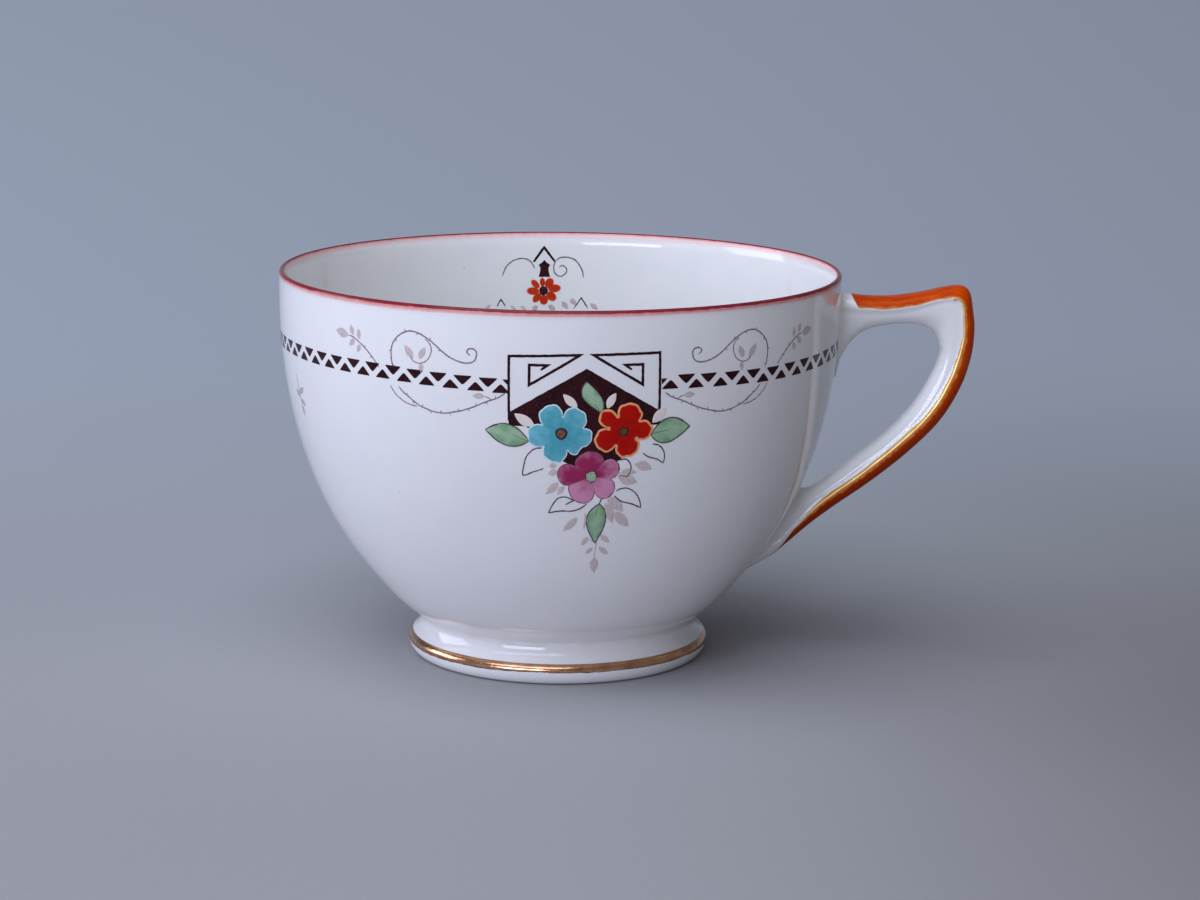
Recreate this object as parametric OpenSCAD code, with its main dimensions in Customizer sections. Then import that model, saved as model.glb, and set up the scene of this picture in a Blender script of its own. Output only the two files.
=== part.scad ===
// Teacup of thin bone china: a full round bowl, a stuck-on flared foot, an angular loop handle,
// the slip that joins them, and the prints, enamels and gilding that lie on the glaze.
// It stands on z = 0 with its axis on Z. The main panel faces -Y and the handle points along +X.

/* [Bowl] */
// Diameter of the bowl below the lip
rim_d = 85.9; // [82:0.1:90]
// Height of the rim above the table
cup_h = 60; // [57:0.5:63]
// Thickness of the wall at the lip
wall_t = 1.6; // [1.4:0.1:1.9]
// Thickness of the floor of the bowl
floor_t = 2.2; // [1.8:0.1:2.8]
// Fullness of the outside curve: 2 is an ellipse, more is squarer
outside_fullness = 2.14; // [2.1:0.01:2.2]
// Fullness of the inside curve
inside_fullness = 2.2; // [2.15:0.01:2.3]

/* [Foot] */
// Diameter of the foot at its widest
foot_d = 46.6; // [46:0.1:47.6]
// Diameter of the neck, where the foot meets the bowl
neck_d = 43.5; // [43:0.1:44]
// Diameter of the hollow under the foot
hollow_d = 36.4; // [34:0.2:37]
// Width of the flat ring that the cup rests on
rest_w = 1.4; // [1:0.1:1.8]

/* [Handle] */
// Width of the handle from front to back
handle_w = 6; // [5:0.1:7]
// How far the handle's enamel wraps on to each side
enamel_wrap = 1.35; // [1:0.05:1.6]
// Width of the gold line beside the handle's enamel
gilt_w = 0.45; // [0.3:0.05:0.6]

/* [Layers] */
// Thickness of the slip that joins the foot and the handle to the bowl
slip_t = 0.25; // [0.2:0.05:0.3]
// Thickness of the printed pattern
print_t = 0.1; // [0.08:0.01:0.14]
// Thickness of the painted enamels
enamel_t = 0.2; // [0.16:0.01:0.26]
// Thickness of the gilding and of the enamel line on the rim
line_t = 0.12; // [0.1:0.01:0.16]
// Number of upright triangles in the lattice between two panels
lattice_count = 27; // [25:1:29]

/* [Hidden] */
$fn = 96;

// The outlines below are drawn on a cup of this size, and they grow with the cup.
drawn_d = 85.9;
drawn_h = 60;
wide = rim_d / drawn_d;
tall = cup_h / drawn_h;

// Bowl: the wall is upright above the crown and a superellipse below it.
rim_r = rim_d / 2;
crown_z = 56.7 * tall;
bowl_depth = 56.3 * tall;
underside_z = 2.4 * tall;
inside_depth = crown_z - underside_z - floor_t;
lip_r = wall_t / 2;
lip_z = cup_h - line_t - lip_r;
curve_steps = 36;
lip_steps = 8;

// Foot
foot_r = foot_d / 2;
neck_r = neck_d / 2;
hollow_r = hollow_d / 2;
rest_r = foot_r - 1.8;
edge_z = 2.6;
edge_rise = 1.76;
edge_top_a = 30;
gilt_low_a = -14;
neck_z = bowl_z(neck_r) - slip_t;
seat_steps = 6;

// Handle: [outer x, outer z, inner x, inner z, half of the width as a share of handle_w].
// The first and last stations lie on the wall of the bowl.
handle_stations = [
    [43.4, 56.5, 43.1, 44.8, 0.60],
    [44.6, 56.4, 43.6, 46.8, 0.55],
    [46.4, 56.2, 44.7, 49.0, 0.52],
    [48.6, 56.1, 46.8, 50.9, 0.50],
    [51.4, 56.2, 50.3, 51.8, 0.50],
    [55.2, 56.8, 53.6, 52.0, 0.50],
    [58.8, 57.6, 55.3, 51.8, 0.50],
    [60.8, 57.9, 56.1, 51.5, 0.50],
    [62.1, 57.6, 56.8, 51.1, 0.50],
    [62.8, 56.7, 57.3, 50.7, 0.50],
    [63.2, 54.8, 57.8, 50.0, 0.50],
    [63.6, 51.2, 58.2, 48.8, 0.50],
    [63.1, 47.2, 58.3, 47.3, 0.50],
    [61.4, 42.6, 57.3, 44.4, 0.50],
    [58.2, 37.6, 54.6, 39.6, 0.50],
    [53.6, 32.4, 50.5, 35.0, 0.50],
    [48.0, 27.3, 45.3, 30.8, 0.48],
    [43.2, 23.8, 41.0, 27.4, 0.48],
    [39.4, 21.0, 38.9, 26.1, 0.49],
    [35.6, 18.0, 37.8, 25.9, 0.50],
    [32.2, 15.2, 37.3, 26.3, 0.52],
    [29.6, 13.7, 37.1, 26.8, 0.55]
];
last_station = len(handle_stations) - 1;
handle_rings = 63;
handle_sides = 20;
section_squareness = 2.6;
enamel_start = 0.6;
skin_rings = 42;

// Decoration: places are [millimetres round from the panel's middle, height].
front_az = 5.8;
rear_az = front_az + 180;
sink = 0.04;
frame_half = 11;
frame_top = 53.8;
frame_low = 44.2;
frame_line_w = 0.32;
scroll_line_w = 0.22;
leaf_line_w = 0.2;
lattice_low = 48.2;
lattice_high = 50.1;
triangle_w = 2.2;
triangle_h = 1.05;
lattice_margin = 1.45;
half_turn = PI * drawn_d / 2;
lattice_pitch = (half_turn - 2 * frame_half - 2 * lattice_margin) / (lattice_count - 1);
handle_clear = 4.2;
point_w = 0.06;

// ---- Curves of the bowl ----

// A point on a superellipse that hangs from the crown, at an angle below the level
function bulge(radius, depth, fullness, angle) =
    [radius * pow(cos(angle), 2 / fullness), crown_z - depth * pow(sin(angle), 2 / fullness)];

// The radius at a height, and the height at a radius, on the outside of the bowl
function bowl_r(z) =
    let (t = min(1, max(0, (crown_z - z) / bowl_depth)))
    rim_r * pow(1 - pow(t, outside_fullness), 1 / outside_fullness);
function bowl_z(r) =
    crown_z - bowl_depth * pow(1 - pow(r / rim_r, outside_fullness), 1 / outside_fullness);

// The radius at a height on the inside of the bowl
function inside_r(z) =
    let (t = min(1, max(0, (crown_z - z) / inside_depth)))
    (rim_r - wall_t) * pow(1 - pow(t, inside_fullness), 1 / inside_fullness);

// A point of the rounded lip, or of a layer that lies on it
function lip(angle, lift) =
    [rim_r - lip_r + (lip_r + lift) * cos(angle), lip_z + (lip_r + lift) * sin(angle)];

// A point of the foot's rounded edge, or of a layer that lies on it
function foot_edge(angle, lift) =
    [rest_r + (foot_r - rest_r + lift) * cos(angle),
     edge_z + ((angle < 0 ? edge_z : edge_rise) + lift) * sin(angle)];

// ---- Smooth lines and closed tubes ----

// A smooth line through the points, with a number of steps between each two
function blend(a, b, c, d, t) =
    0.5 * (2 * b + (c - a) * t + (2 * a - 5 * b + 4 * c - d) * t * t
           + (3 * b - a - 3 * c + d) * t * t * t);
function along(points, t) =
    let (last = len(points) - 1, i = min(last - 1, floor(t)))
    blend(points[max(0, i - 1)], points[i], points[i + 1], points[min(last, i + 2)], t - i);
function smooth(points, steps) =
    [for (i = [0 : (len(points) - 1) * steps]) along(points, i / steps)];

// Triangles of a closed tube of rings, whose points start at a given number
function tube_faces(first, rings, sides) = concat(
    [for (r = [0 : rings - 2])
        for (i = [0 : sides - 1])
            let (a = first + r * sides + i, b = first + r * sides + (i + 1) % sides)
            each [[a, b, b + sides], [a, b + sides, a + sides]]],
    [for (i = [1 : sides - 2]) [first, first + i + 1, first + i]],
    let (end = first + (rings - 1) * sides)
    [for (i = [1 : sides - 2]) [end, end + i, end + i + 1]]
);

// ---- Layers on the bowl ----

// A place on the outside or the inside of the bowl, lifted off the glaze
function on_outside(az, place, lift) =
    let (a = az + place.x / drawn_d * 360 / PI, z = place.y * tall, r = bowl_r(z) + lift)
    [r * sin(a), -r * cos(a), z];
function on_inside(az, place, lift) =
    let (a = az - place.x / drawn_d * 360 / PI, z = place.y * tall, r = inside_r(z) - lift)
    [r * sin(a), -r * cos(a), z];

// Turns a direction a quarter turn to its left
function leftwards(d) = [-d.y, d.x] / norm(d);

// A stroke of even width along a line, as pairs of left and right edges. It is mitred at corners.
function stroke(line, width) =
    let (last = len(line) - 1)
    [for (i = [0 : last])
        let (before = leftwards(line[max(1, i)] - line[max(1, i) - 1]),
             after = leftwards(line[min(last, i + 1)] - line[min(last, i + 1) - 1]),
             middle = (before + after) / norm(before + after),
             reach = width / 2 / max(0.35, middle * before))
        [line[i] + middle * reach, line[i] - middle * reach]];

// A leaf from its base to its tip, or a petal, whose widest place is nearer the tip
function blade(base, tip, width, steps, lean) =
    let (side = leftwards(tip - base))
    [for (i = [0 : steps])
        let (s = i / steps, half = max(point_w / 2, width / 2 * pow(sin(180 * pow(s, lean)), 0.8)))
        [base + (tip - base) * s + side * half, base + (tip - base) * s - side * half]];
function leaf(base, tip, width) = blade(base, tip, width, 6, 0.85);

// A point at an angle and a distance from a middle
function spoke(middle, angle, distance) = middle + distance * [cos(angle), sin(angle)];

// The petals of a flower round its middle, from the centre's edge to the tips
function petals(middle, radius, hub, count, turn, width) =
    [for (k = [0 : count - 1])
        let (a = turn + k * 360 / count)
        blade(spoke(middle, a, hub), spoke(middle, a, radius), width, 7, 1.45)];

// A round dot as a strip
function dot(middle, radius) =
    [for (i = [0 : 8])
        let (a = 180 * i / 8, half = max(point_w / 2, radius * sin(a)), y = -radius * cos(a))
        [middle + [-half, y], middle + [half, y]]];

// One solid layer made of strips, on the outside or the inside of the bowl
module relief(strips, az, lift, inside = false) {
    firsts = [for (i = 0, n = 0; i < len(strips); n = n + 4 * len(strips[i]), i = i + 1) n];
    function put(p, h) = inside ? on_inside(az, p, h) : on_outside(az, p, h);
    points = [for (s = strips)
        for (pair = s)
            each [put(pair[0], lift), put(pair[1], lift), put(pair[1], -sink), put(pair[0], -sink)]];
    faces = [for (k = [0 : len(strips) - 1]) each tube_faces(firsts[k], len(strips[k]), 4)];
    polyhedron(points, faces);
}

// The same strips with left and right changed over
function mirrored(line) = [for (p = line) [-p.x, p.y]];

// ---- Clay ----

module bowl() color("ghostwhite") rotate_extrude() {
    low_a = asin(pow((crown_z - underside_z) / bowl_depth, outside_fullness / 2));
    outside = [for (i = [curve_steps : -1 : 0])
        bulge(rim_r, bowl_depth, outside_fullness, low_a * i / curve_steps)];
    top = [for (i = [0 : lip_steps]) lip(180 * i / lip_steps, 0)];
    inside = [for (i = [0 : curve_steps])
        bulge(rim_r - wall_t, inside_depth, inside_fullness, 90 * i / curve_steps)];
    polygon(concat([[0, underside_z]], outside, top, inside));
}

// The top of the foot follows the bowl, one thickness of slip below it.
function seat(lift) =
    [for (i = [0 : seat_steps])
        let (r = neck_r + (hollow_r - neck_r) * i / seat_steps)
        [r, bowl_z(r) - lift]];

module foot_ring() color("ghostwhite") rotate_extrude() {
    edge_top = foot_edge(edge_top_a, 0);
    inner_rest_r = rest_r - rest_w;
    edge = [for (a = [-90 : 15 : edge_top_a]) foot_edge(a, 0)];
    flare = [for (s = [0.2 : 0.2 : 0.8])
        [neck_r + (edge_top.x - neck_r) * pow(1 - s, 1.5), edge_top.y + (neck_z - edge_top.y) * s]];
    inner_edge = [for (a = [0 : 22.5 : 90])
        [inner_rest_r - (inner_rest_r - hollow_r - 0.4) * sin(a), 1.2 - 1.2 * cos(a)]];
    polygon(concat([for (p = inner_edge) if (p.y == 0) p], edge, flare, seat(slip_t),
                   [for (i = [len(inner_edge) - 1 : -1 : 1]) inner_edge[i]]));
}

// A section of the handle, or of a layer that lies on it, between two angles round the section
function signed_pow(v) = sign(v) * pow(abs(v), 2 / section_squareness);
function handle_section(t, lift, angles) =
    let (s = along(handle_stations, t),
         outer = [s[0] * wide, s[1] * tall],
         inner = [s[2] * wide, s[3] * tall],
         middle = (outer + inner) / 2,
         depth = norm(outer - inner) / 2,
         across = (outer - inner) / (2 * depth))
    [for (a = angles)
        let (d = (depth + lift) * signed_pow(cos(a)), y = (s[4] * handle_w + lift) * signed_pow(sin(a)))
        [middle.x + across.x * d, y, middle.y + across.y * d]];

// The same section pressed against the wall of the bowl, with a gap
function against_wall(section, gap) =
    [for (p = section) [sqrt(pow(bowl_r(p.z) + gap, 2) - p.y * p.y), p.y, p.z]];
round_angles = [for (i = [0 : handle_sides - 1]) 360 * i / handle_sides];

module handle() color("ghostwhite") {
    rings = [for (i = [0 : handle_rings])
        let (section = handle_section(last_station * i / handle_rings, 0, round_angles))
        i == 0 || i == handle_rings ? against_wall(section, slip_t) : section];
    polyhedron([for (r = rings) each r], tube_faces(0, handle_rings + 1, handle_sides));
}

// ---- Slip joints ----

module foot_slip_joint() color("linen") rotate_extrude() {
    below = seat(slip_t);
    polygon(concat(seat(0), [for (i = [seat_steps : -1 : 0]) below[i]]));
}

module handle_slip(end) color("linen") {
    section = handle_section(end, 0, round_angles);
    pads = end == 0 ? [against_wall(section, 0), against_wall(section, slip_t)]
                    : [against_wall(section, slip_t), against_wall(section, 0)];
    polyhedron([for (r = pads) each r], tube_faces(0, 2, handle_sides));
}

// ---- Enamel and gold lines ----

module rim_enamel_line() color("indianred") rotate_extrude() {
    skirt_z = lip_z - 0.5;
    over = [for (i = [0 : lip_steps]) lip(180 * i / lip_steps, line_t)];
    under = [for (i = [lip_steps : -1 : 0]) lip(180 * i / lip_steps, 0)];
    polygon(concat([[rim_r, skirt_z], [rim_r + line_t, skirt_z]], over, under));
}

module foot_gilt_band() color("goldenrod") rotate_extrude() {
    steps = 5;
    angles = [for (i = [0 : steps]) gilt_low_a + (edge_top_a - gilt_low_a) * i / steps];
    polygon(concat([for (a = angles) foot_edge(a, line_t)],
                   [for (i = [steps : -1 : 0]) foot_edge(angles[i], -sink)]));
}

// The angle round the section where the side face is a given distance in from the outer edge
function wrap_angle(t, wrap) =
    let (s = along(handle_stations, t),
         depth = norm([(s[0] - s[2]) * wide, (s[1] - s[3]) * tall]) / 2)
    acos(pow(max(0, (depth - wrap) / depth), section_squareness / 2));

// A thin layer on the handle between two distances in from the outer edge
module handle_layer(from_wrap, to_wrap, side, steps, lift) {
    rings = [for (i = [0 : skin_rings])
        let (t = enamel_start + (last_station - 0.25 - enamel_start) * i / skin_rings,
             low = from_wrap < 0 ? -wrap_angle(t, -from_wrap) : wrap_angle(t, from_wrap),
             high = wrap_angle(t, to_wrap),
             outward = [for (k = [0 : steps]) side * (low + (high - low) * k / steps)],
             inward = [for (k = [steps : -1 : 0]) outward[k]])
        concat(handle_section(t, lift, outward), handle_section(t, -sink, inward))];
    ordered = side > 0 ? rings : [for (r = rings) [for (i = [len(r) - 1 : -1 : 0]) r[i]]];
    polyhedron([for (r = ordered) each r], tube_faces(0, skin_rings + 1, 2 * steps + 2));
}
module handle_enamel() color("orangered") handle_layer(-enamel_wrap, enamel_wrap, 1, 8, line_t);
module handle_gilt(side) color("goldenrod")
    handle_layer(enamel_wrap + 0.04, enamel_wrap + gilt_w, side, 2, line_t);

// ---- Printed pattern ----

// The lattice is two rows of triangles, point to point, that stop at the panels and the handle.
function triangle(middle, base_v, point_v) =
    let (s = sign(point_v - base_v))
    [[[middle - s * triangle_w / 2, base_v], [middle + s * triangle_w / 2, base_v]],
     [[middle - s * point_w / 2, point_v], [middle + s * point_w / 2, point_v]]];
function clear_of_handle(az, u) =
    abs((az + u / drawn_d * 360 / PI) - 90) / 360 * PI * drawn_d > handle_clear;
module lattice_band() color("#3d1a20") {
    first = frame_half + lattice_margin;
    triangles = [for (turn = [0, half_turn])
        for (k = [0 : lattice_count - 1])
            let (up = turn + first + k * lattice_pitch, down = up + lattice_pitch / 2)
            each concat(
                clear_of_handle(front_az, up) ? [triangle(up, lattice_low, lattice_low + triangle_h)] : [],
                k < lattice_count - 1 && clear_of_handle(front_az, down)
                    ? [triangle(down, lattice_high, lattice_high - triangle_h)] : [])];
    relief(triangles, front_az, print_t);
}

// Each half of the frame is one line that turns in on itself like a key.
key_line = [[frame_half, frame_low], [frame_half, frame_top], [1.3, frame_top], [8.1, 49.3],
            [8.2, 52.1], [5.5, 52.1], [6.4, 51.3]];
module key_lines(az) color("#3d1a20")
    relief([stroke(key_line, frame_line_w), stroke(mirrored(key_line), frame_line_w)], az, print_t);

// The dark ground is a roof above the flowers. It leaves room for each flower.
turquoise_at = [-3.5, 42.1];
red_at = [5.6, 42.4];
pink_at = [1.1, 35.8];
turquoise_r = 4.6;
red_r = 4.2;
pink_r = 4.4;
module dark_ground(az) color("#3a181c") difference() {
    roof = [for (i = [0 : 44])
        let (u = frame_half - i / 2)
        [[u, 51.5 - 0.53 * abs(u)], [u, min(44, 37.2 + 0.62 * abs(u))]]];
    relief([[for (pair = roof) [pair[1], pair[0]]]], az, print_t);
    for (flower = [[turquoise_at, turquoise_r], [red_at, red_r], [pink_at, pink_r]])
        rotate([0, 0, az])
            translate([flower[0].x, 0, flower[0].y * tall])
                rotate([90, 0, 0]) cylinder(r = flower[1] + 0.15, h = rim_d);
}

// One scroll, right of the panel: a curl that climbs over a loop, and an arc below the lattice
scroll_curl = [[16.9, 53.5], [17.3, 54.0], [16.6, 54.4], [15.9, 53.7], [16.2, 52.7], [17.6, 52.1],
               [19.4, 52.6], [21.3, 53.8], [23.5, 55.2], [25.6, 56.3], [27.5, 55.8], [29.0, 54.2],
               [29.4, 52.2], [29.1, 50.5]];
scroll_arc = [[28.6, 48.0], [26.6, 46.3], [24.3, 45.2], [21.6, 44.6], [18.8, 44.8], [15.9, 45.7],
              [13.4, 46.8], [11.9, 47.8]];
scroll_loop = [[23.0, 54.4], [22.7, 53.4], [23.2, 52.3], [24.4, 51.6], [25.5, 51.8]];
scroll_strand = [[29.4, 47.8], [28.1, 46.3], [26.4, 45.3]];
sprig_stem = [[31.5, 50.4], [32.6, 51.8], [34.0, 53.0], [35.4, 53.8]];
scroll_leaves = [[[25.8, 52.3], [27.1, 54.0], 1.1], [[24.2, 52.2], [24.0, 53.9], 1.0],
                 [[24.4, 51.3], [24.6, 50.3], 0.7],
                 [[36.6, 54.3], [40.2, 54.8], 1.3], [[36.1, 54.6], [37.1, 56.0], 0.9],
                 [[36.2, 53.6], [37.6, 52.6], 0.9], [[35.2, 54.4], [35.2, 55.6], 0.8]];
module scrolls(az) color("rosybrown") {
    lines = [for (l = [scroll_curl, scroll_arc, scroll_loop, scroll_strand, sprig_stem]) smooth(l, 2)];
    relief([for (l = lines) each [stroke(l, scroll_line_w), stroke(mirrored(l), scroll_line_w)]],
           az, print_t);
    relief([for (f = scroll_leaves)
        for (s = [-1, 1]) leaf([s * f[0].x, f[0].y], [s * f[1].x, f[1].y], f[2])], az, print_t);
}

// A faint three-leaved sprig on each side, below the lattice
module side_sprigs() color("rosybrown") {
    sprig_u = -54.5;
    sprig_z = 43;
    relief([for (turn = [0, half_turn])
        for (a = [40, 90, 140])
            leaf(spoke([turn + sprig_u, sprig_z], a, 0.6), spoke([turn + sprig_u, sprig_z], a, 2.6), 1)],
           front_az, print_t);
}

// ---- Painted flowers and leaves ----

module turquoise_flower(az) color("mediumturquoise")
    relief(petals(turquoise_at, turquoise_r, 1, 5, 119, 3.7), az, enamel_t);
module red_flower(az) color("#d2260c")
    relief(petals(red_at, red_r, 0.9, 5, 72, 3.3), az, enamel_t);
module pink_flower(az) color("#b4499a")
    relief(petals(pink_at, pink_r, 0.95, 5, 95, 3.5), az, enamel_t);
module flower_centres(az) color("#6b4a2a")
    relief([dot(turquoise_at, 0.9), dot(red_at, 0.8), dot(pink_at, 0.85)], az, enamel_t);

green_leaf_list = [[[-8.2, 41.2], [-14.4, 42.5], 2.9], [[9.9, 41.6], [15.8, 42.6], 2.8],
                   [[2.4, 45.6], [0.2, 49.8], 2.5], [[2.4, 31.3], [2.4, 25.3], 2.6]];
module green_leaves(az) color("mediumseagreen")
    relief([for (f = green_leaf_list) leaf(f[0], f[1], f[2])], az, enamel_t);

pale_leaf_list = [[[-1.3, 46.6], [-3.3, 48.2], 1.1], [[3.2, 46.2], [4.3, 48.2], 1.1],
                  [[-3.9, 35.2], [-5.6, 33.6], 1.2], [[-4.2, 36.9], [-6.3, 36.4], 1.0],
                  [[5.9, 36.1], [8.2, 34.9], 1.4], [[8.3, 37.4], [9.6, 36.6], 1.1],
                  [[5.2, 31.2], [7.4, 28.2], 1.6], [[-1.1, 29.4], [-3.1, 27.0], 1.2],
                  [[3.6, 26.3], [4.8, 25.3], 0.9], [[1.0, 26.4], [0.5, 25.1], 0.8],
                  [[3.3, 24.5], [5.0, 23.3], 0.9], [[1.9, 24.5], [1.0, 23.5], 0.8],
                  [[2.6, 22.8], [2.8, 20.3], 1.1]];
module pale_leaves(az) color("thistle")
    relief([for (f = pale_leaf_list) leaf(f[0], f[1], f[2])], az, print_t);

// A leaf that is only a drawn line, up one side and back down the other
function leaf_line(base, tip, width) =
    let (pairs = leaf(base, tip, width))
    concat([for (i = [0 : 6]) pairs[i][0]], [for (i = [5 : -1 : 1]) pairs[i][1]]);
outlined_leaf_list = [[[-6.4, 37.5], [-9.2, 36.0], 2.4], [[-0.8, 31.2], [-5.4, 30.2], 2.2],
                      [[9.9, 38.6], [12.4, 37.4], 2.0], [[5.6, 32.2], [9.3, 30.8], 2.2]];
module outlined_leaves(az) color("#4a2a30")
    relief([for (f = outlined_leaf_list) stroke(leaf_line(f[0], f[1], f[2]), leaf_line_w)], az, print_t);

// ---- Motif on the inside of the bowl, facing the drinker ----

inside_flower_at = [0, 50.5];
module inside_roof_print() color("#3a181c")
    relief([stroke([[-1.9, 55.1], [0, 57.3], [1.9, 55.1]], frame_line_w),
            [[[-1.0, 52.9], [1.0, 52.9]], [[-0.5, 53.8], [0.5, 53.8]], [[-0.8, 54.6], [0.8, 54.6]],
             [[-point_w, 56.0], [point_w, 56.0]]],
            stroke([[-7.6, 48.0], [-6.6, 49.2], [-5.6, 48.0]], scroll_line_w),
            stroke([[5.6, 48.0], [6.6, 49.2], [7.6, 48.0]], scroll_line_w)],
           rear_az, print_t, true);
module inside_flower() color("#e0481a")
    relief(concat(petals(inside_flower_at, 2.3, 0.8, 8, 90, 1.1), [dot(inside_flower_at, 0.6)]),
           rear_az, enamel_t, true);
inside_scroll = [[2.6, 52.6], [2.4, 54.2], [3.6, 55.7], [5.4, 55.7], [6.8, 54.4], [7.0, 52.7]];
module inside_scrolls() color("rosybrown")
    relief([for (l = [smooth(inside_scroll, 3), smooth(mirrored(inside_scroll), 3)])
        stroke(l, scroll_line_w)], rear_az, print_t, true);

bowl();
foot_ring();
handle();
foot_slip_joint();
handle_slip(0);  // handle_slip_upper
handle_slip(last_station);  // handle_slip_lower
rim_enamel_line();
foot_gilt_band();
handle_enamel();
handle_gilt(-1);  // handle_gilt_front
handle_gilt(1);  // handle_gilt_rear
lattice_band();
side_sprigs();
key_lines(front_az);  // front_key_lines
dark_ground(front_az);  // front_dark_ground
scrolls(front_az);  // front_scrolls
turquoise_flower(front_az);  // front_turquoise_flower
red_flower(front_az);  // front_red_flower
pink_flower(front_az);  // front_pink_flower
flower_centres(front_az);  // front_flower_centres
green_leaves(front_az);  // front_green_leaves
pale_leaves(front_az);  // front_pale_leaves
outlined_leaves(front_az);  // front_outlined_leaves
key_lines(rear_az);  // rear_key_lines
dark_ground(rear_az);  // rear_dark_ground
scrolls(rear_az);  // rear_scrolls
turquoise_flower(rear_az);  // rear_turquoise_flower
red_flower(rear_az);  // rear_red_flower
pink_flower(rear_az);  // rear_pink_flower
flower_centres(rear_az);  // rear_flower_centres
green_leaves(rear_az);  // rear_green_leaves
pale_leaves(rear_az);  // rear_pale_leaves
outlined_leaves(rear_az);  // rear_outlined_leaves
inside_roof_print();
inside_flower();
inside_scrolls();
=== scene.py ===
import bpy
import numpy as np
from mathutils import Matrix, Vector


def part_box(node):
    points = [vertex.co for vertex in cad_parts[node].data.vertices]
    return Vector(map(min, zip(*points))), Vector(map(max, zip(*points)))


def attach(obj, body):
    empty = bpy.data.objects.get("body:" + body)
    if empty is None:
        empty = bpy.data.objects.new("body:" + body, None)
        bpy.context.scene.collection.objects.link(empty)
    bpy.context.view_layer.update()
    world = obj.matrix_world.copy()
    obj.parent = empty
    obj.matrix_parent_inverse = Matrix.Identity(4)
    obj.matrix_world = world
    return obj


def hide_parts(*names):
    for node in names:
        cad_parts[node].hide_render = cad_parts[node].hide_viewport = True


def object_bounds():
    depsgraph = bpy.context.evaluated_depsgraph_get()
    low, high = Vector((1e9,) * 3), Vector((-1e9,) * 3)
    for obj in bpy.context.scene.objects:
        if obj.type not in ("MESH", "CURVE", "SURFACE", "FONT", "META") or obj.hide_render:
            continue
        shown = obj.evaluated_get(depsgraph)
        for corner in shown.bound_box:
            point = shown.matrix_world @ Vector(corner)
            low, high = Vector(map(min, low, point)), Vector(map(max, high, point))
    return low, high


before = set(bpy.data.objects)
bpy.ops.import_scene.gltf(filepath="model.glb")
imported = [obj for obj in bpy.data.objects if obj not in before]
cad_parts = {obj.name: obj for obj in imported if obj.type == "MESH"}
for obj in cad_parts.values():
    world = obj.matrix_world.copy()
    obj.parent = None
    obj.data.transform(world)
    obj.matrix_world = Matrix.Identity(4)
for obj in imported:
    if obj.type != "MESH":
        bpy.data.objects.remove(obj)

# Looks of a bone china teacup: glazed clay, painted enamels, gilding and a printed pattern.
# Lengths are in millimetres until a mesh is made. The cup stands on Z, its main panel faces -Y
# and the handle points along +X.

MM = 0.001
CAD_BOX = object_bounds()
rng = np.random.default_rng(7)

# ---------------------------------------------------------------- sizes, from the frame

RIM_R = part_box("bowl")[1].x / MM
CUP_H = CAD_BOX[1].z / MM
FOOT_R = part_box("foot_ring")[1].x / MM
DRAWN_R, DRAWN_H = 42.95, 60.0
WIDE, TALL = RIM_R / DRAWN_R, CUP_H / DRAWN_H

# The wall is upright above the crown and a superellipse below it.
CROWN_Z, BOWL_DEPTH, FULLNESS = 56.7 * TALL, 56.3 * TALL, 2.14
UNDERSIDE_Z, FLOOR_Z, INSIDE_FULLNESS = 2.4 * TALL, 4.6 * TALL, 2.2
WALL = 1.6
LIP_Z, LIP_RISE = CUP_H - 0.62, 0.5
# The wall stands out a little just above the foot: by how much, at what height, over what span.
SWELL, SWELL_Z, SWELL_SPAN = 0.8, 7.2, 4.2
# Inside, the wall leans out from a height up to the lip, and flares over the last stretch.
LEAN, LEAN_Z = 0.45, 44
FLARE, FLARE_SPAN = 0.35, 1.6

# The foot: neck and hollow, bare rest, rounded edge and the sweep of its flare. It is let into the bowl.
NECK_R, HOLLOW_R, HOLLOW_FLARE = 21.2, 18.2, 0.4
REST_R, REST_W, CURL = FOOT_R - 1.8, 1.4, 1.2
EDGE_Z, EDGE_RISE, EDGE_TOP = 2.3, 1.25, np.radians(50)
FOOT_SWEEP, FOOT_INLET = 2.1, 0.25
GILT_LOW, GILT_HIGH = np.radians(-7), np.radians(54)

# The middles of the two panels, and how deep the painted layers are let into the glaze.
FRONT, REAR = np.radians(5.8), np.radians(185.8)
SINK = 0.03


def superellipse(z, radius, depth, fullness):
    """Radius at height z of a superellipse that hangs from the crown."""
    t = np.clip((CROWN_Z - z) / depth, 0, 1)
    return radius * (1 - t**fullness) ** (1 / fullness)


def bowl_radius(z):
    """The outside wall: a superellipse, a little fuller just above the foot."""
    swell = SWELL * np.exp(-(((z - SWELL_Z) / SWELL_SPAN) ** 2))
    return superellipse(z, RIM_R, BOWL_DEPTH, FULLNESS) + swell


def inside_radius(z):
    """The inside wall: a superellipse plus two powers of height, a slow lean and a short flare."""
    lean = LEAN * np.clip((z - LEAN_Z) / (LIP_Z - LEAN_Z), 0, 1) ** 1.6
    flare = FLARE * np.clip((z - LIP_Z + FLARE_SPAN) / FLARE_SPAN, 0, 1) ** 2.2
    return superellipse(z, RIM_R - WALL, CROWN_Z - FLOOR_Z, INSIDE_FULLNESS) + lean + flare


def bowl_height(r):
    """Height at radius r on the outside of the bowl, looked up on its profile."""
    z = np.linspace(UNDERSIDE_Z - 1, CROWN_Z, 4000)
    return np.interp(r, bowl_radius(z), z)


# ---------------------------------------------------------------- meshes from grids


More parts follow.
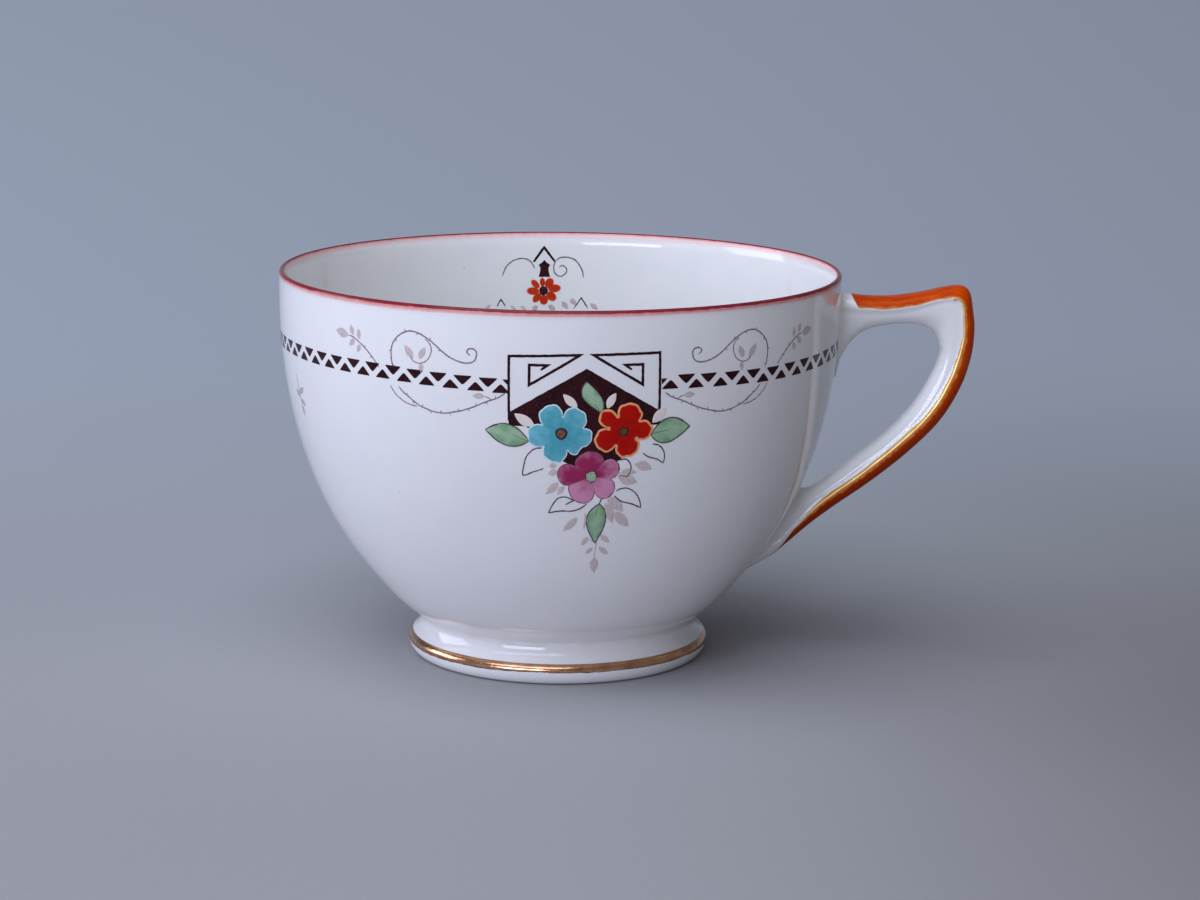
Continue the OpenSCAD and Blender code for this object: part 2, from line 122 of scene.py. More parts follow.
def along(points, t):
    """Places at t on a Catmull-Rom line, where whole numbers of t are its points."""
    p = np.asarray(points, float)
    i = np.clip(np.floor(t).astype(int), 0, len(p) - 2)
    f = (t - i)[..., None]
    a, b, c, d = (p[np.clip(i + k, 0, len(p) - 1)] for k in (-1, 0, 1, 2))
    return 0.5 * (2 * b + (c - a) * f + (2 * a - 5 * b + 4 * c - d) * f**2 + (3 * b - a - 3 * c + d) * f**3)


def smooth(points, steps=8):
    """A Catmull-Rom line through the points, with a number of steps between each two."""
    return along(points, np.linspace(0, len(points) - 1, (len(points) - 1) * steps + 1))


def sheet(points, joined=(False, False), **fields):
    """A grid of points as vertices, four-cornered faces, and one value of each field per point.

    A direction that is joined has a row of faces from its last points back to its first.
    """
    rows, cols = points.shape[:2]
    i = np.arange(rows if joined[0] else rows - 1)[:, None]
    j = np.arange(cols if joined[1] else cols - 1)[None, :]
    i2, j2 = (i + 1) % rows, (j + 1) % cols
    corners = np.broadcast_arrays(i * cols + j, i2 * cols + j, i2 * cols + j2, i * cols + j2)
    values = {k: np.broadcast_to(v, (rows, cols)).ravel() for k, v in fields.items()}
    return points.reshape(-1, 3), np.stack(corners, -1).reshape(-1, 4), values


def weld(vertices, quads, values):
    """Merges points that meet, drops faces that closed up, and turns the faces outwards."""
    _, first, same = np.unique(np.round(vertices, 5), axis=0, return_index=True, return_inverse=True)
    q = same.reshape(-1)[quads]
    vertices, values = vertices[first], {k: v[first] for k, v in values.items()}
    shut = np.stack([q[:, k] == q[:, (k + 1) % 4] for k in range(4)], -1)
    crossed = (q[:, 0] == q[:, 2]) | (q[:, 1] == q[:, 3])
    whole = q[~shut.any(1) & ~crossed]
    lone = (shut.sum(1) == 1) & ~crossed
    tris = np.concatenate([q[lone & shut[:, k]][:, [m for m in range(4) if m != k]] for k in range(4)])
    fans = np.concatenate([whole[:, [0, 1, 2]], whole[:, [0, 2, 3]], tris])
    a, b, c = (vertices[fans[:, k]] for k in range(3))
    if np.einsum("ij,ij->i", a, np.cross(b, c)).sum() < 0:
        whole, tris = whole[:, ::-1], tris[:, ::-1]
    return vertices, whole, tris, values


SHARP = np.radians(40)


def make_piece(name, sheets, finish, slot, *nodes):
    """One piece from closed sheets. It rides on the root, stands for CAD nodes and takes a finish."""
    parts = [weld(*s) for s in sheets]
    starts = np.cumsum([0] + [len(p[0]) for p in parts])
    vertices = np.concatenate([p[0] for p in parts]) * MM
    quads = np.concatenate([p[1] + n for p, n in zip(parts, starts)])
    tris = np.concatenate([p[2] + n for p, n in zip(parts, starts)])
    mesh = bpy.data.meshes.new(name)
    mesh.from_pydata(vertices.tolist(), [], quads.tolist() + tris.tolist())
    for key in parts[0][3]:
        layer = mesh.attributes.new(key, "FLOAT", "POINT")
        layer.data.foreach_set("value", np.concatenate([p[3][key] for p in parts]).astype(np.float32))
    mesh.polygons.foreach_set("use_smooth", np.ones(len(mesh.polygons), bool))
    mesh.update()
    mesh.set_sharp_from_angle(angle=SHARP)
    mesh.materials.append(finish)
    piece = bpy.data.objects.new(name, mesh)
    bpy.context.scene.collection.objects.link(piece)
    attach(piece, "root")
    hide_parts(*nodes)
    return piece


def lathe(radius, z, steps=288, **fields):
    """Profile points, as radius and height, turned round Z: one closed loop or a line from pole to pole."""
    a = np.linspace(0, 2 * np.pi, steps, endpoint=False)[:, None]
    r, z = np.broadcast_arrays(radius + 0 * a, z + 0 * a)
    shut = abs(r[0, 0]) > 1e-9
    return sheet(np.stack([r * np.sin(a), -r * np.cos(a), z], -1), (True, shut), **fields)


def waves(steps, counts, size, phase):
    """A smooth uneven curve round a circle: a sum of a few sine waves."""
    a = np.linspace(0, 2 * np.pi, steps, endpoint=False)[:, None]
    return size * sum(np.sin(n * a + phase * (k + 1) * 1.7) / (k + 1) for k, n in enumerate(counts))


def layer(over, back, disc=False, **fields):
    """A thin closed layer: its top, its back, and edges that run straight from one to the other.

    A disc has its middle in the first column and goes round over its rows.
    """
    pad = [(0, 0), (0, 1)] if disc else [(1, 1), (1, 1)]
    top = np.pad(over, pad + [(0, 0)], mode="edge")
    under = np.pad(back, pad + [(0, 0)], mode="edge")
    fields = {k: np.pad(np.broadcast_to(v, over.shape[:2]), pad, mode="edge") for k, v in fields.items()}
    rim = np.ones(top.shape[:2], bool)
    rim[(slice(None) if disc else slice(1, -1)), (slice(0, -1) if disc else slice(1, -1))] = False
    top[rim] = under[rim]
    if disc:
        both = {k: np.concatenate([v, v[:, ::-1]], 1) for k, v in fields.items()}
        return sheet(np.concatenate([top, under[:, ::-1]], 1), (True, False), **both)
    a = sheet(top, **fields)
    b = sheet(under[:, ::-1], **{k: v[:, ::-1] for k, v in fields.items()})
    return (np.concatenate([a[0], b[0]]), np.concatenate([a[1], b[1] + len(a[0])]),
            {k: np.concatenate([a[2][k], b[2][k]]) for k in a[2]})


# ---------------------------------------------------------------- layers that follow the wall


def on_wall(place, lift, az, inside=False):
    """Wraps flat places on the bowl: (millimetres round from az, height), lifted along the normal."""
    z = place[..., 1] * TALL
    radius = inside_radius if inside else bowl_radius
    side = -1 if inside else 1
    a = az + side * place[..., 0] / DRAWN_R
    slope = (radius(z + 0.05) - radius(z - 0.05)) / 0.1
    length = np.sqrt(1 + slope**2)
    r = radius(z) + side * lift / length
    z = z - side * lift * slope / length
    return np.stack([r * np.sin(a), -r * np.cos(a), z], -1)


def wall_layer(place, lift, az, inside=False, disc=False, **fields):
    """A layer of flat places with a lift for each, wrapped on the bowl and let in a little."""
    over = on_wall(place, np.broadcast_to(lift, place.shape[:2]), az, inside)
    back = on_wall(place, np.full(place.shape[:2], -SINK), az, inside)
    return layer(over, back, disc, **fields)


def split(points, spacing=0.4):
    """A line with its corners kept and even points added between them."""
    p = np.asarray(points, float)
    lengths = np.linalg.norm(np.diff(p, axis=0), axis=1)
    parts = [a + (b - a) * np.linspace(0, 1, max(1, int(n / spacing)), endpoint=False)[:, None]
             for a, b, n in zip(p[:-1], p[1:], lengths)]
    return np.concatenate(parts + [p[-1:]])


def stroke(line, width, lift, az, inside=False, ends=0.35, tone=0.0, rough=0.12):
    """A drawn line of even width with mitred corners, slightly uneven edges and narrower ends."""
    p = np.asarray(line, float)
    d = np.diff(p, axis=0)
    d = d / np.linalg.norm(d, axis=1)[:, None]
    before, after = np.vstack([d[:1], d]), np.vstack([d, d[-1:]])
    middle = before + after
    middle = middle / np.maximum(np.linalg.norm(middle, axis=1), 1e-6)[:, None]
    reach = 1 / np.maximum(0.35, (middle * before).sum(1))
    far = np.concatenate([[0], np.cumsum(np.linalg.norm(np.diff(p, axis=0), axis=1))])
    from_end = np.minimum(far, far[-1] - far)
    narrow = ends + (1 - ends) * np.clip(from_end / (2.5 * width), 0, 1) ** 0.5
    uneven = 1 + rough * rng.uniform(-1, 1, (2, len(p)))
    left = np.stack([-middle[:, 1], middle[:, 0]], -1)
    side = [(width / 2 * reach * narrow * u)[:, None] * left for u in uneven]
    place = np.stack([p + side[0], p, p - side[1]], 1)
    domed, edge = lift * np.array([0.5, 1, 0.5]), np.array([1.0, 0, 1])
    return wall_layer(place, domed, az, inside, edge=edge, tone=tone)


def bent(a, b, side, steps):
    """A curve from a to b that passes through a side point half way."""
    t = np.linspace(0, 1, steps)[:, None]
    a, b, side = (np.asarray(v, float) for v in (a, b, side))
    return a * (1 - t) ** 2 + (4 * side - a - b) * t * (1 - t) + b * t**2


def leaf_sides(base, tip, width, bend=0.0):
    """The two side points of a plain leaf: half way up, a half width out, and bent to one side."""
    base, tip = np.asarray(base, float), np.asarray(tip, float)
    d = (tip - base) / np.linalg.norm(tip - base)
    across = np.array([-d[1], d[0]])
    middle = base + (tip - base) * 0.46 + across * bend
    return middle + across * width / 2, middle - across * width / 2


def leaf(base, tip, one, other, lift, az, inside=False, tone=0.0, steps=13):
    """A pointed leaf between two curved sides. It is thickest along its middle."""
    s = np.linspace(0, 1, 7)[None, :, None]
    place = bent(base, tip, one, steps)[:, None] * (1 - s) + bent(base, tip, other, steps)[:, None] * s
    across = abs(2 * s[..., 0] - 1)
    return wall_layer(place, lift * (1 - 0.5 * across**4), az, inside,
                      edge=across, tone=tone, far=np.linspace(0, 1, steps)[:, None])


def plain_leaf(base, tip, width, lift, az, inside=False, bend=0.0, tone=0.0):
    """A leaf given by its width, and by how far its middle bends to one side."""
    one, other = leaf_sides(base, tip, width, bend)
    return leaf(base, tip, one, other, lift, az, inside, tone)


def leaf_line(base, tip, one, other, steps=15):
    """A leaf's outline: up one side to the tip and back down the other."""
    return np.concatenate([bent(base, tip, one, steps), bent(base, tip, other, steps)[-2::-1]])


def flower_outline(angle, notches, reaches, swelling):
    """Radius of a flower at an angle, its petal's number, and the place across that petal from -1 to 1.

    A petal swells from its two notches to its reach as a power of one minus the square of that place.
    """
    radius, petal, span = np.zeros_like(angle), np.zeros(angle.shape, int), np.zeros_like(angle)
    for k, ((a, low), reach) in enumerate(zip(notches, reaches)):
        b, next_low = notches[(k + 1) % len(notches)]
        width = (b - a) % 360
        x = 2 * ((angle - a) % 360) / width - 1
        here = (x >= -1) & (x < 1)
        foot = low + (next_low - low) * (x + 1) / 2
        swell = foot + (reach - foot) * np.clip(1 - x**2, 0, 1) ** swelling
        radius, petal = np.where(here, swell, radius), np.where(here, k, petal)
        span = np.where(here, x, span)
    return radius, petal, span


# Flower enamel thins towards its edge over this distance.
SHOULDER = 0.9


def flower(middle, notches, reaches, lift, az, tones, swelling):
    """A flat flower of enamel: rings from its middle out to its outline, in polar form.

    It rises with the square root of the distance from its edge, and sinks in the creases between petals.
    """
    angle = np.linspace(0, 360, 240, endpoint=False)
    radius, petal, span = flower_outline(angle, notches, reaches, swelling)
    uneven = 0.014 * np.sin(np.radians(11 * angle + 40)) + 0.011 * np.sin(np.radians(19 * angle))
    radius = radius * (1 + uneven)
    s = np.concatenate([np.linspace(0, 0.8, 12), [0.86, 0.91, 0.95, 0.98, 1.0]])
    a = np.radians(angle)[:, None]
    reach = radius[:, None] * s[None, :]
    flat = np.stack([reach * np.cos(a), reach * np.sin(a)], -1)
    inward = np.linalg.norm(flat[:, :, None] - flat[None, None, :, -1], axis=-1).min(2) / SHOULDER
    place = flat + np.asarray(middle)
    crease = np.clip((1 - abs(span))[:, None] * reach * 0.9, 0, 1)
    height = lift * (0.35 + 0.65 * np.sqrt(np.clip(inward, 0, 1))) * (0.7 + 0.3 * crease**0.5)
    return wall_layer(place, height, az, disc=True, edge=np.clip(1 - inward, 0, 1),
                      tone=np.asarray(tones)[petal][:, None], far=s[None, :], crease=crease)


def dot(middle, radius, lift, az, inside=False, tone=0.0):
    """A round spot of enamel, domed, with a slightly uneven outline."""
    a = np.radians(np.linspace(0, 360, 40, endpoint=False))[:, None]
    s = np.array([0, 0.3, 0.55, 0.75, 0.9, 1.0])[None, :]
    uneven = radius * (1 + 0.04 * np.sin(3 * a + tone * 5) + 0.02 * np.sin(7 * a + 1))
    place = np.stack([middle[0] + s * uneven * np.cos(a), middle[1] + s * uneven * np.sin(a)], -1)
    return wall_layer(place, lift * (1 - 0.25 * s**4) + 0 * a, az, inside, disc=True, edge=s, tone=tone)


def oval(base, tip, width, lift, az, inside=False):
    """An oval petal from its base to its tip: rings of an ellipse, domed."""
    a = np.radians(np.linspace(0, 360, 32, endpoint=False))[:, None, None]
    s = np.array([0, 0.35, 0.6, 0.8, 0.92, 1.0])[None, :, None]
    base, tip = np.asarray(base, float), np.asarray(tip, float)
    half = (tip - base) / 2
    across = np.array([-half[1], half[0]]) / np.linalg.norm(half) * width / 2
    place = (base + tip) / 2 + s * (np.cos(a) * half + np.sin(a) * across)
    s = s[..., 0]
    return wall_layer(place, lift * (1 - 0.5 * s**4), az, inside, disc=True,
                      edge=s**3, tone=0.4, far=s, crease=1.0)


# ---------------------------------------------------------------- finishes


class Wire:
    """A value in a finish. Sums and products of it add Math nodes."""

    def __init__(self, finish, socket):
        self.finish, self.socket = finish, socket

    def math(self, operation, *values):
        """A Math node on values or wires."""
        return self.finish.node("ShaderNodeMath", {"operation": operation}, dict(enumerate(values)))

    def __add__(self, other):
        return self.math("ADD", self, other)

    def __sub__(self, other):
        return self.math("SUBTRACT", self, other)

    def __rsub__(self, other):
        return self.math("SUBTRACT", other, self)

    def __mul__(self, other):
        return self.math("MULTIPLY", self, other)

    def __pow__(self, power):
        return self.math("POWER", self, power)

    __radd__, __rmul__ = __add__, __mul__

    def between(self, low, high):
        """0 at low, 1 at high, and a smooth climb from one to the other."""
        return self.finish.node("ShaderNodeMapRange", {"interpolation_type": "SMOOTHSTEP"},
                                {"Value": self, "From Min": low, "From Max": high})


class Finish:
    """A material on one Principled shader, with constants set on the shader's own sockets."""

    def __init__(self, name, **constants):
        self.material = bpy.data.materials.new(name)
        self.material.use_nodes = True
        self.tree = self.material.node_tree
        self.shader = self.tree.nodes["Principled BSDF"]
        for key, value in constants.items():
            self.shader.inputs[key.replace("_", " ")].default_value = value
        self.place = self.node("ShaderNodeTexCoord", {}, {}, "Object")
        self.height = self.node("ShaderNodeSeparateXYZ", {}, {0: self.place}, "Z") * (1 / MM)

    def node(self, kind, settings, inputs, out=0):
        """Any node: its settings first, then the values or wires of its sockets."""
        made = self.tree.nodes.new(kind)
        for key, value in settings.items():
            setattr(made, key, value)
        for key, value in inputs.items():
            if isinstance(value, Wire):
                self.tree.links.new(value.socket, made.inputs[key])
            else:
                made.inputs[key].default_value = value
        return Wire(self, made.outputs[out])

    def feed(self, **wires):
        """Wires to the shader's sockets, by name."""
        for key, wire in wires.items():
            self.tree.links.new(wire.socket, self.shader.inputs[key.replace("_", " ")])

    def noise(self, size, detail=2.0, stretch=(1, 1, 1)):
        """Soft cloudy noise, with patches about one size across in millimetres."""
        place = self.node("ShaderNodeVectorMath", {"operation": "MULTIPLY"}, {0: self.place, 1: stretch})
        inputs = {"Vector": place, "Scale": 1 / (size * MM), "Detail": detail}
        return self.node("ShaderNodeTexNoise", {}, inputs)

    def field(self, name):
        """A value that the mesh carries at its points."""
        return self.node("ShaderNodeAttribute", {"attribute_name": name}, {}, "Fac")

    def mix(self, amount, a, b):
        """Colour a where the amount is 0, and b where it is 1."""
        return self.node("ShaderNodeMix", {"data_type": "RGBA"}, {0: amount, 6: a, 7: b}, 2)

    def bump(self, wire, depth):
        """Small relief of a depth in millimetres."""
        self.feed(Normal=self.node("ShaderNodeBump", {}, {"Height": wire, "Distance": depth * MM}))


def paint(r, g, b):
    """A colour given as 0 to 255 on screen, as the shader's linear values."""
    c = np.array([r, g, b]) / 255
    return (*np.where(c <= 0.04045, c / 12.92, ((c + 0.055) / 1.055) ** 2.4).tolist(), 1.0)


def glazed_china():
    """White bone china under clear glaze: rare specks, a bare resting edge, a faint pink haze at the lip."""
    f = Finish("glazed_bone_china", Roughness=0.07, IOR=1.5, Subsurface_Weight=0.12, Subsurface_Scale=0.0012)
    f.shader.inputs["Subsurface Radius"].default_value = (1.0, 0.85, 0.7)
    cloud = f.noise(9).between(0.35, 0.7)
    white = f.mix(cloud * 0.5, paint(236, 235, 234), paint(231, 231, 231))
    speck = f.node("ShaderNodeTexVoronoi", {}, {"Vector": f.place, "Scale": 260.0})
    rare = f.noise(4, 0.0).between(0.66, 0.7)
    white = f.mix((1 - speck.between(0.02, 0.045)) * rare * 0.5, white, paint(150, 140, 132))
    haze = f.height.between(CUP_H - 1.7, CUP_H - 0.6) * (0.12 + f.noise(5) * 0.3)
    white = f.mix(haze, white, paint(232, 178, 176))
    bare = 1 - f.height.between(0.12, 0.3)
    f.feed(Base_Color=f.mix(bare, white, paint(206, 199, 188)), Roughness=0.07 + bare * 0.5)
    f.bump(f.noise(14, 1.0), 0.05)
    return f.material


def luting_slip():
    """The same clay and glaze where two pieces join, a little creamier where the glaze pools."""
    f = Finish("glazed_slip_joint", Roughness=0.08, IOR=1.5)
    f.feed(Base_Color=f.mix(f.noise(2.5).between(0.3, 0.7), paint(236, 235, 233), paint(229, 227, 222)))
    return f.material


def rim_enamel():
    """Dusty red line: deep along the lip, and pale pink towards both edges."""
    f = Finish("rim_enamel", Roughness=0.16, IOR=1.5, Specular_IOR_Level=0.2)
    edge = f.field("edge") + (f.noise(1.2) - 0.5) * 0.25
    deep = f.mix(f.noise(6).between(0.3, 0.7), paint(142, 40, 48), paint(120, 32, 44))
    colour = f.mix(edge.between(0.36, 0.6), deep, paint(226, 150, 146))
    f.feed(Base_Color=f.mix(edge.between(0.65, 1.0), colour, paint(236, 208, 206)))
    return f.material


def orange_enamel():
    """Orange brushed along the handle: streaky, darker and browner low down as painted shade, with a thin
    yellow edge.
    """
    f = Finish("orange_enamel", Roughness=0.2, IOR=1.5, Specular_IOR_Level=0.05)
    streak = f.noise(0.7, 3.0, (0.25, 1, 0.25)).between(0.3, 0.72)
    body = f.mix(streak, paint(212, 78, 2), paint(186, 56, 2))
    # Painted shade: the lower part of the handle is mixed towards dark brown, where the lower limb lies in
    # shadow.
    low = 1 - f.height.between(28, 58)
    body = f.mix(low * 0.85, body, paint(150, 42, 8))
    thin = (f.field("edge") + (f.noise(0.8) - 0.5) * 0.2).between(0.86, 1.0)
    f.feed(Base_Color=f.mix(thin * 0.8, body, paint(236, 150, 74)), Roughness=0.14 + streak * 0.14)
    f.bump(streak, 0.01)
    return f.material


def gilding(name, metal, dull, light, dark, brown):
    """Gold in two shades, browner at its edges partly as wear and partly as a painted dark reflection, with
    fine scratches.
    """
    f = Finish(name, Metallic=metal, Roughness=dull)
    # This edge mask is partly wear and partly a painted reflection of the dark floor along the band's lower
    # edge.
    worn = (f.field("edge") + (f.noise(1.4, 3.0) - 0.5) * 1.1).between(0.8, 1.1)
    cloud = f.noise(3).between(0.3, 0.7)
    f.feed(Base_Color=f.mix(worn, f.mix(cloud, light, dark), brown))
    f.feed(Roughness=dull + f.noise(0.5, 3.0, (1, 1, 6)).between(0.4, 0.8) * 0.16 + worn * 0.12)
    f.bump(f.noise(0.9, 2.0), 0.02)
    return f.material


def dark_print():
    """Plum-brown printing ink under the glaze, slightly stippled. Fine lines (tone 1) are paler."""
    f = Finish("dark_print", Roughness=0.12, IOR=1.5, Specular_IOR_Level=0.12)
    stipple = f.noise(0.22, 2.0).between(0.45, 0.75)
    ink = f.mix(f.noise(3).between(0.3, 0.7), paint(38, 10, 14), paint(50, 16, 20))
    ink = f.mix(stipple * 0.22, ink, paint(104, 70, 78))
    f.feed(Base_Color=f.mix(f.field("tone").between(0, 1), ink, paint(88, 62, 68)))
    return f.material


def pale_print():
    """The same ink printed thinly: mauve lines (tone 0), paler leaves (1) and cream ones (2)."""
    f = Finish("pale_print", Roughness=0.12, IOR=1.5)
    grain = f.noise(0.25, 2.0).between(0.4, 0.75)
    line = f.mix(grain * 0.6, paint(116, 88, 96), paint(176, 156, 162))
    fill = f.mix(grain * 0.7, paint(196, 180, 176), paint(226, 216, 216))
    tone = f.field("tone")
    colour = f.mix(tone.between(0, 1), line, fill)
    colour = f.mix(tone.between(1.2, 2), colour, paint(232, 220, 212))
    f.feed(Base_Color=f.mix(f.field("edge").between(0.7, 1.0) * 0.25, colour, paint(222, 216, 216)))
    return f.material


def flower_enamel(name, deep, pale, rim_colour, rim_start, crease_colour, gloss, shading):
    """Thick flower enamel: brushed from deep to pale, with a paler rim and soft creases between petals."""
    f = Finish(name, Roughness=0.16, IOR=1.5, Specular_IOR_Level=gloss)
    brushed = f.noise(1.1, 2.0).between(0.3, 0.7)
    tone = f.field("tone") + (f.field("far") - 0.7) * shading
    body = f.mix((tone + (brushed - 0.5) * 0.28).between(0, 1), deep, pale)
    body = f.mix((1 - f.field("crease").between(0, 0.32)) * 0.3, body, crease_colour)
    rim = (f.field("edge") + (f.noise(0.4) - 0.5) * 0.2).between(rim_start, rim_start + 0.16)
    f.feed(Base_Color=f.mix(rim, body, rim_colour), Roughness=0.12 + brushed * 0.12)
    f.bump(brushed, 0.008)
    return f.material


def centre_enamel():
    """Flower centres: brown with a dark ring (tone 0), olive (0.5), and pale green with a thin ring (1)."""
    f = Finish("centre_enamel", Roughness=0.2, IOR=1.5)
    tone, grain = f.field("tone"), f.noise(0.4).between(0.3, 0.7)
    brown = f.mix(grain, paint(138, 92, 76), paint(92, 56, 44))
    olive = f.mix(grain, paint(104, 78, 26), paint(88, 54, 20))
    green = f.mix(grain, paint(164, 186, 152), paint(140, 164, 134))
    body = f.mix(tone.between(0, 0.5), brown, olive)
    body = f.mix(tone.between(0.5, 1), body, green)
    edge = f.field("edge") + (f.noise(0.5) - 0.5) * 0.35
    ring = edge.between(0.6, 0.78) * (1 - tone.between(0.5, 1) * (1 - edge.between(0.82, 0.9)))
    f.feed(Base_Color=f.mix(ring, body, paint(40, 24, 26)))
    return f.material


def green_enamel():
    """Thin green leaf enamel: paler in the middle of the leaf, deeper at its edges and its base."""
    f = Finish("green_enamel", Roughness=0.18, IOR=1.5)
    pool = (f.field("edge") * 0.5 + f.noise(1.3).between(0.3, 0.7) * 0.5).between(0.3, 0.95)
    body = f.mix(pool, paint(160, 190, 156), paint(118, 160, 120))
    f.feed(Base_Color=f.mix((1 - f.field("far")) * 0.25, body, paint(106, 156, 114)))
    return f.material


def seamless_paper():
    """Matte pale grey paper, slightly mottled, painted lighter and cooler further back, and with painted
    shade to the right.
    """
    f = Finish("seamless_paper", Roughness=0.9, Specular_IOR_Level=0.2)
    cloud = f.noise(160).between(0.3, 0.7)
    grain = f.noise(1.6, 2.0).between(0.2, 0.8)
    grey = f.mix(cloud * 0.5 + grain * 0.25, paint(166, 165, 168), paint(160, 159, 162))
    right, back = (f.node("ShaderNodeSeparateXYZ", {}, {0: f.place}, axis) * (1 / MM) for axis in "XY")
    # Painted light: the paper further back is made lighter and cooler.
    far = back.between(-60, 260)
    grey = f.mix(far, grey, paint(169, 175, 184))
    # Painted shade: the paper to the right is darkened for the cup's soft shadow and the fall-off of the
    # light.
    painted_shade = right.between(0, 130) * (1 - far) * 0.7 + right.between(0, 500) * far * 0.2
    f.feed(Base_Color=f.mix(painted_shade, grey, paint(112, 108, 108)))
    return f.material


CHINA, SLIP, RIM_RED, ORANGE = glazed_china(), luting_slip(), rim_enamel(), orange_enamel()
FOOT_GOLD = gilding("burnished_gilding", 1.0, 0.16,
                    paint(230, 184, 146), paint(204, 146, 108), paint(84, 52, 34))
# The handle's gold is a brighter copy of the foot's gilding: its paler colours are painted light, for the
# light the thin line catches.
HANDLE_GOLD = gilding("brushed_gilding", 0.55, 0.3,
                      paint(250, 208, 132), paint(238, 176, 92), paint(210, 134, 60))
DARK_INK, PALE_INK, CENTRES, GREEN = dark_print(), pale_print(), centre_enamel(), green_enamel()
TURQUOISE = flower_enamel("turquoise_enamel", paint(70, 160, 176), paint(132, 198, 214),
                          paint(206, 230, 234), 0.72, paint(50, 130, 152), 0.4, 0.5)
RED = flower_enamel("red_enamel", paint(168, 4, 1), paint(186, 20, 4), paint(238, 160, 110),
                    0.58, paint(160, 14, 6), 0.15, 0.3)
INSIDE_RED = flower_enamel("inside_red_enamel", paint(182, 42, 14), paint(208, 70, 32), paint(238, 190, 166),
                           0.62, paint(170, 40, 16), 0.15, 0.3)
PINK = flower_enamel("pink_enamel", paint(152, 34, 84), paint(208, 140, 172), paint(120, 56, 84),
                     0.88, paint(138, 40, 88), 0.3, 0.9)


# ---------------------------------------------------------------- clay pieces


def bowl():
    """A profile turned round Z: underside, superellipse wall, thin lip, inside wall and floor."""
    low = np.arcsin(((CROWN_Z - UNDERSIDE_Z) / BOWL_DEPTH) ** (FULLNESS / 2))
    a = np.linspace(low, 0, 110)
    wall_z = CROWN_Z - BOWL_DEPTH * np.sin(a) ** (2 / FULLNESS)
    wall_r = bowl_radius(wall_z)
    r0 = np.linspace(0, wall_r[0], 12)[:-1]
    up = np.linspace(CROWN_Z, LIP_Z, 7)[1:]
    turn = np.radians(np.linspace(0, 180, 17))[1:-1]
    inner = inside_radius(np.array([LIP_Z]))[0]
    lip_r = (RIM_R + inner) / 2 + (RIM_R - inner) / 2 * np.cos(turn)
    lip_z = LIP_Z + LIP_RISE * np.sin(turn)
    down = LIP_Z - (LIP_Z - CROWN_Z) * np.linspace(0, 1, 10)
    b = np.linspace(0, np.pi / 2, 110)[1:]
    in_z = np.concatenate([down, CROWN_Z - (CROWN_Z - FLOOR_Z) * np.sin(b) ** (2 / INSIDE_FULLNESS)])
    in_r = inside_radius(in_z)
    in_r[-1] = 0
    radius = np.concatenate([r0, wall_r, np.full(len(up), RIM_R), lip_r, in_r])
    z = np.concatenate([np.full(len(r0), UNDERSIDE_Z), wall_z, up, lip_z, in_z])
    return lathe(radius, z)


def foot_edge(angle, lift):
    """A point of the foot's rounded edge, at an angle above the level."""
    rise = np.where(angle < 0, EDGE_Z, EDGE_RISE)
    return REST_R + (FOOT_R - REST_R + lift) * np.cos(angle), EDGE_Z + (rise + lift) * np.sin(angle)


def foot():
    """A flared ring: bare flat rest, rounded edge, hollow flare up to the neck, seat under the bowl."""
    a = np.linspace(-np.pi / 2, EDGE_TOP, 30)
    edge_r, edge_z = foot_edge(a, 0)
    s = np.linspace(0, 1, 26)[1:]
    neck_z = bowl_height(NECK_R) - FOOT_INLET
    flare_r = NECK_R + (edge_r[-1] - NECK_R) * (1 - s) ** FOOT_SWEEP
    flare_z = edge_z[-1] + (neck_z - edge_z[-1]) * s
    seat_r = np.linspace(NECK_R, HOLLOW_R, 10)[1:]
    b = np.radians(np.linspace(90, 0, 14))
    inner = REST_R - REST_W
    curl_r = inner - (inner - HOLLOW_R - HOLLOW_FLARE) * np.sin(b)
    curl_z = CURL - CURL * np.cos(b)
    drop_z = np.linspace(bowl_height(HOLLOW_R) - FOOT_INLET, CURL, 8)[1:-1]
    drop_r = HOLLOW_R + HOLLOW_FLARE * np.linspace(0, 1, 8)[1:-1]
    radius = np.concatenate([edge_r, flare_r, seat_r, drop_r, curl_r])
    z = np.concatenate([edge_z, flare_z, bowl_height(seat_r) - FOOT_INLET, drop_z, curl_z])
    return lathe(radius, z)


def foot_joint():
    """A thin ring of slip between bowl and foot. Its hollow fillet at the neck is a quadratic curve."""
    x = np.linspace(0, 1, 9)
    reach, drop, proud = 0.35, 0.6, 0.03
    top_r, top_z = NECK_R + reach, bowl_height(NECK_R + reach) + proud
    low_r, low_z = NECK_R + proud, bowl_height(NECK_R) - drop
    mid_r, mid_z = NECK_R, bowl_height(NECK_R) - 0.12
    fillet_r = top_r * (1 - x) ** 2 + 2 * mid_r * x * (1 - x) + low_r * x**2
    fillet_z = top_z * (1 - x) ** 2 + 2 * mid_z * x * (1 - x) + low_z * x**2
    seat_r = np.linspace(NECK_R - 0.3, HOLLOW_R - 0.2, 6)
    radius = np.concatenate([fillet_r, seat_r, seat_r[::-1]])
    z = np.concatenate([fillet_z, bowl_height(seat_r) - 0.3, bowl_height(seat_r[::-1]) + 0.05])
    return lathe(radius, z)


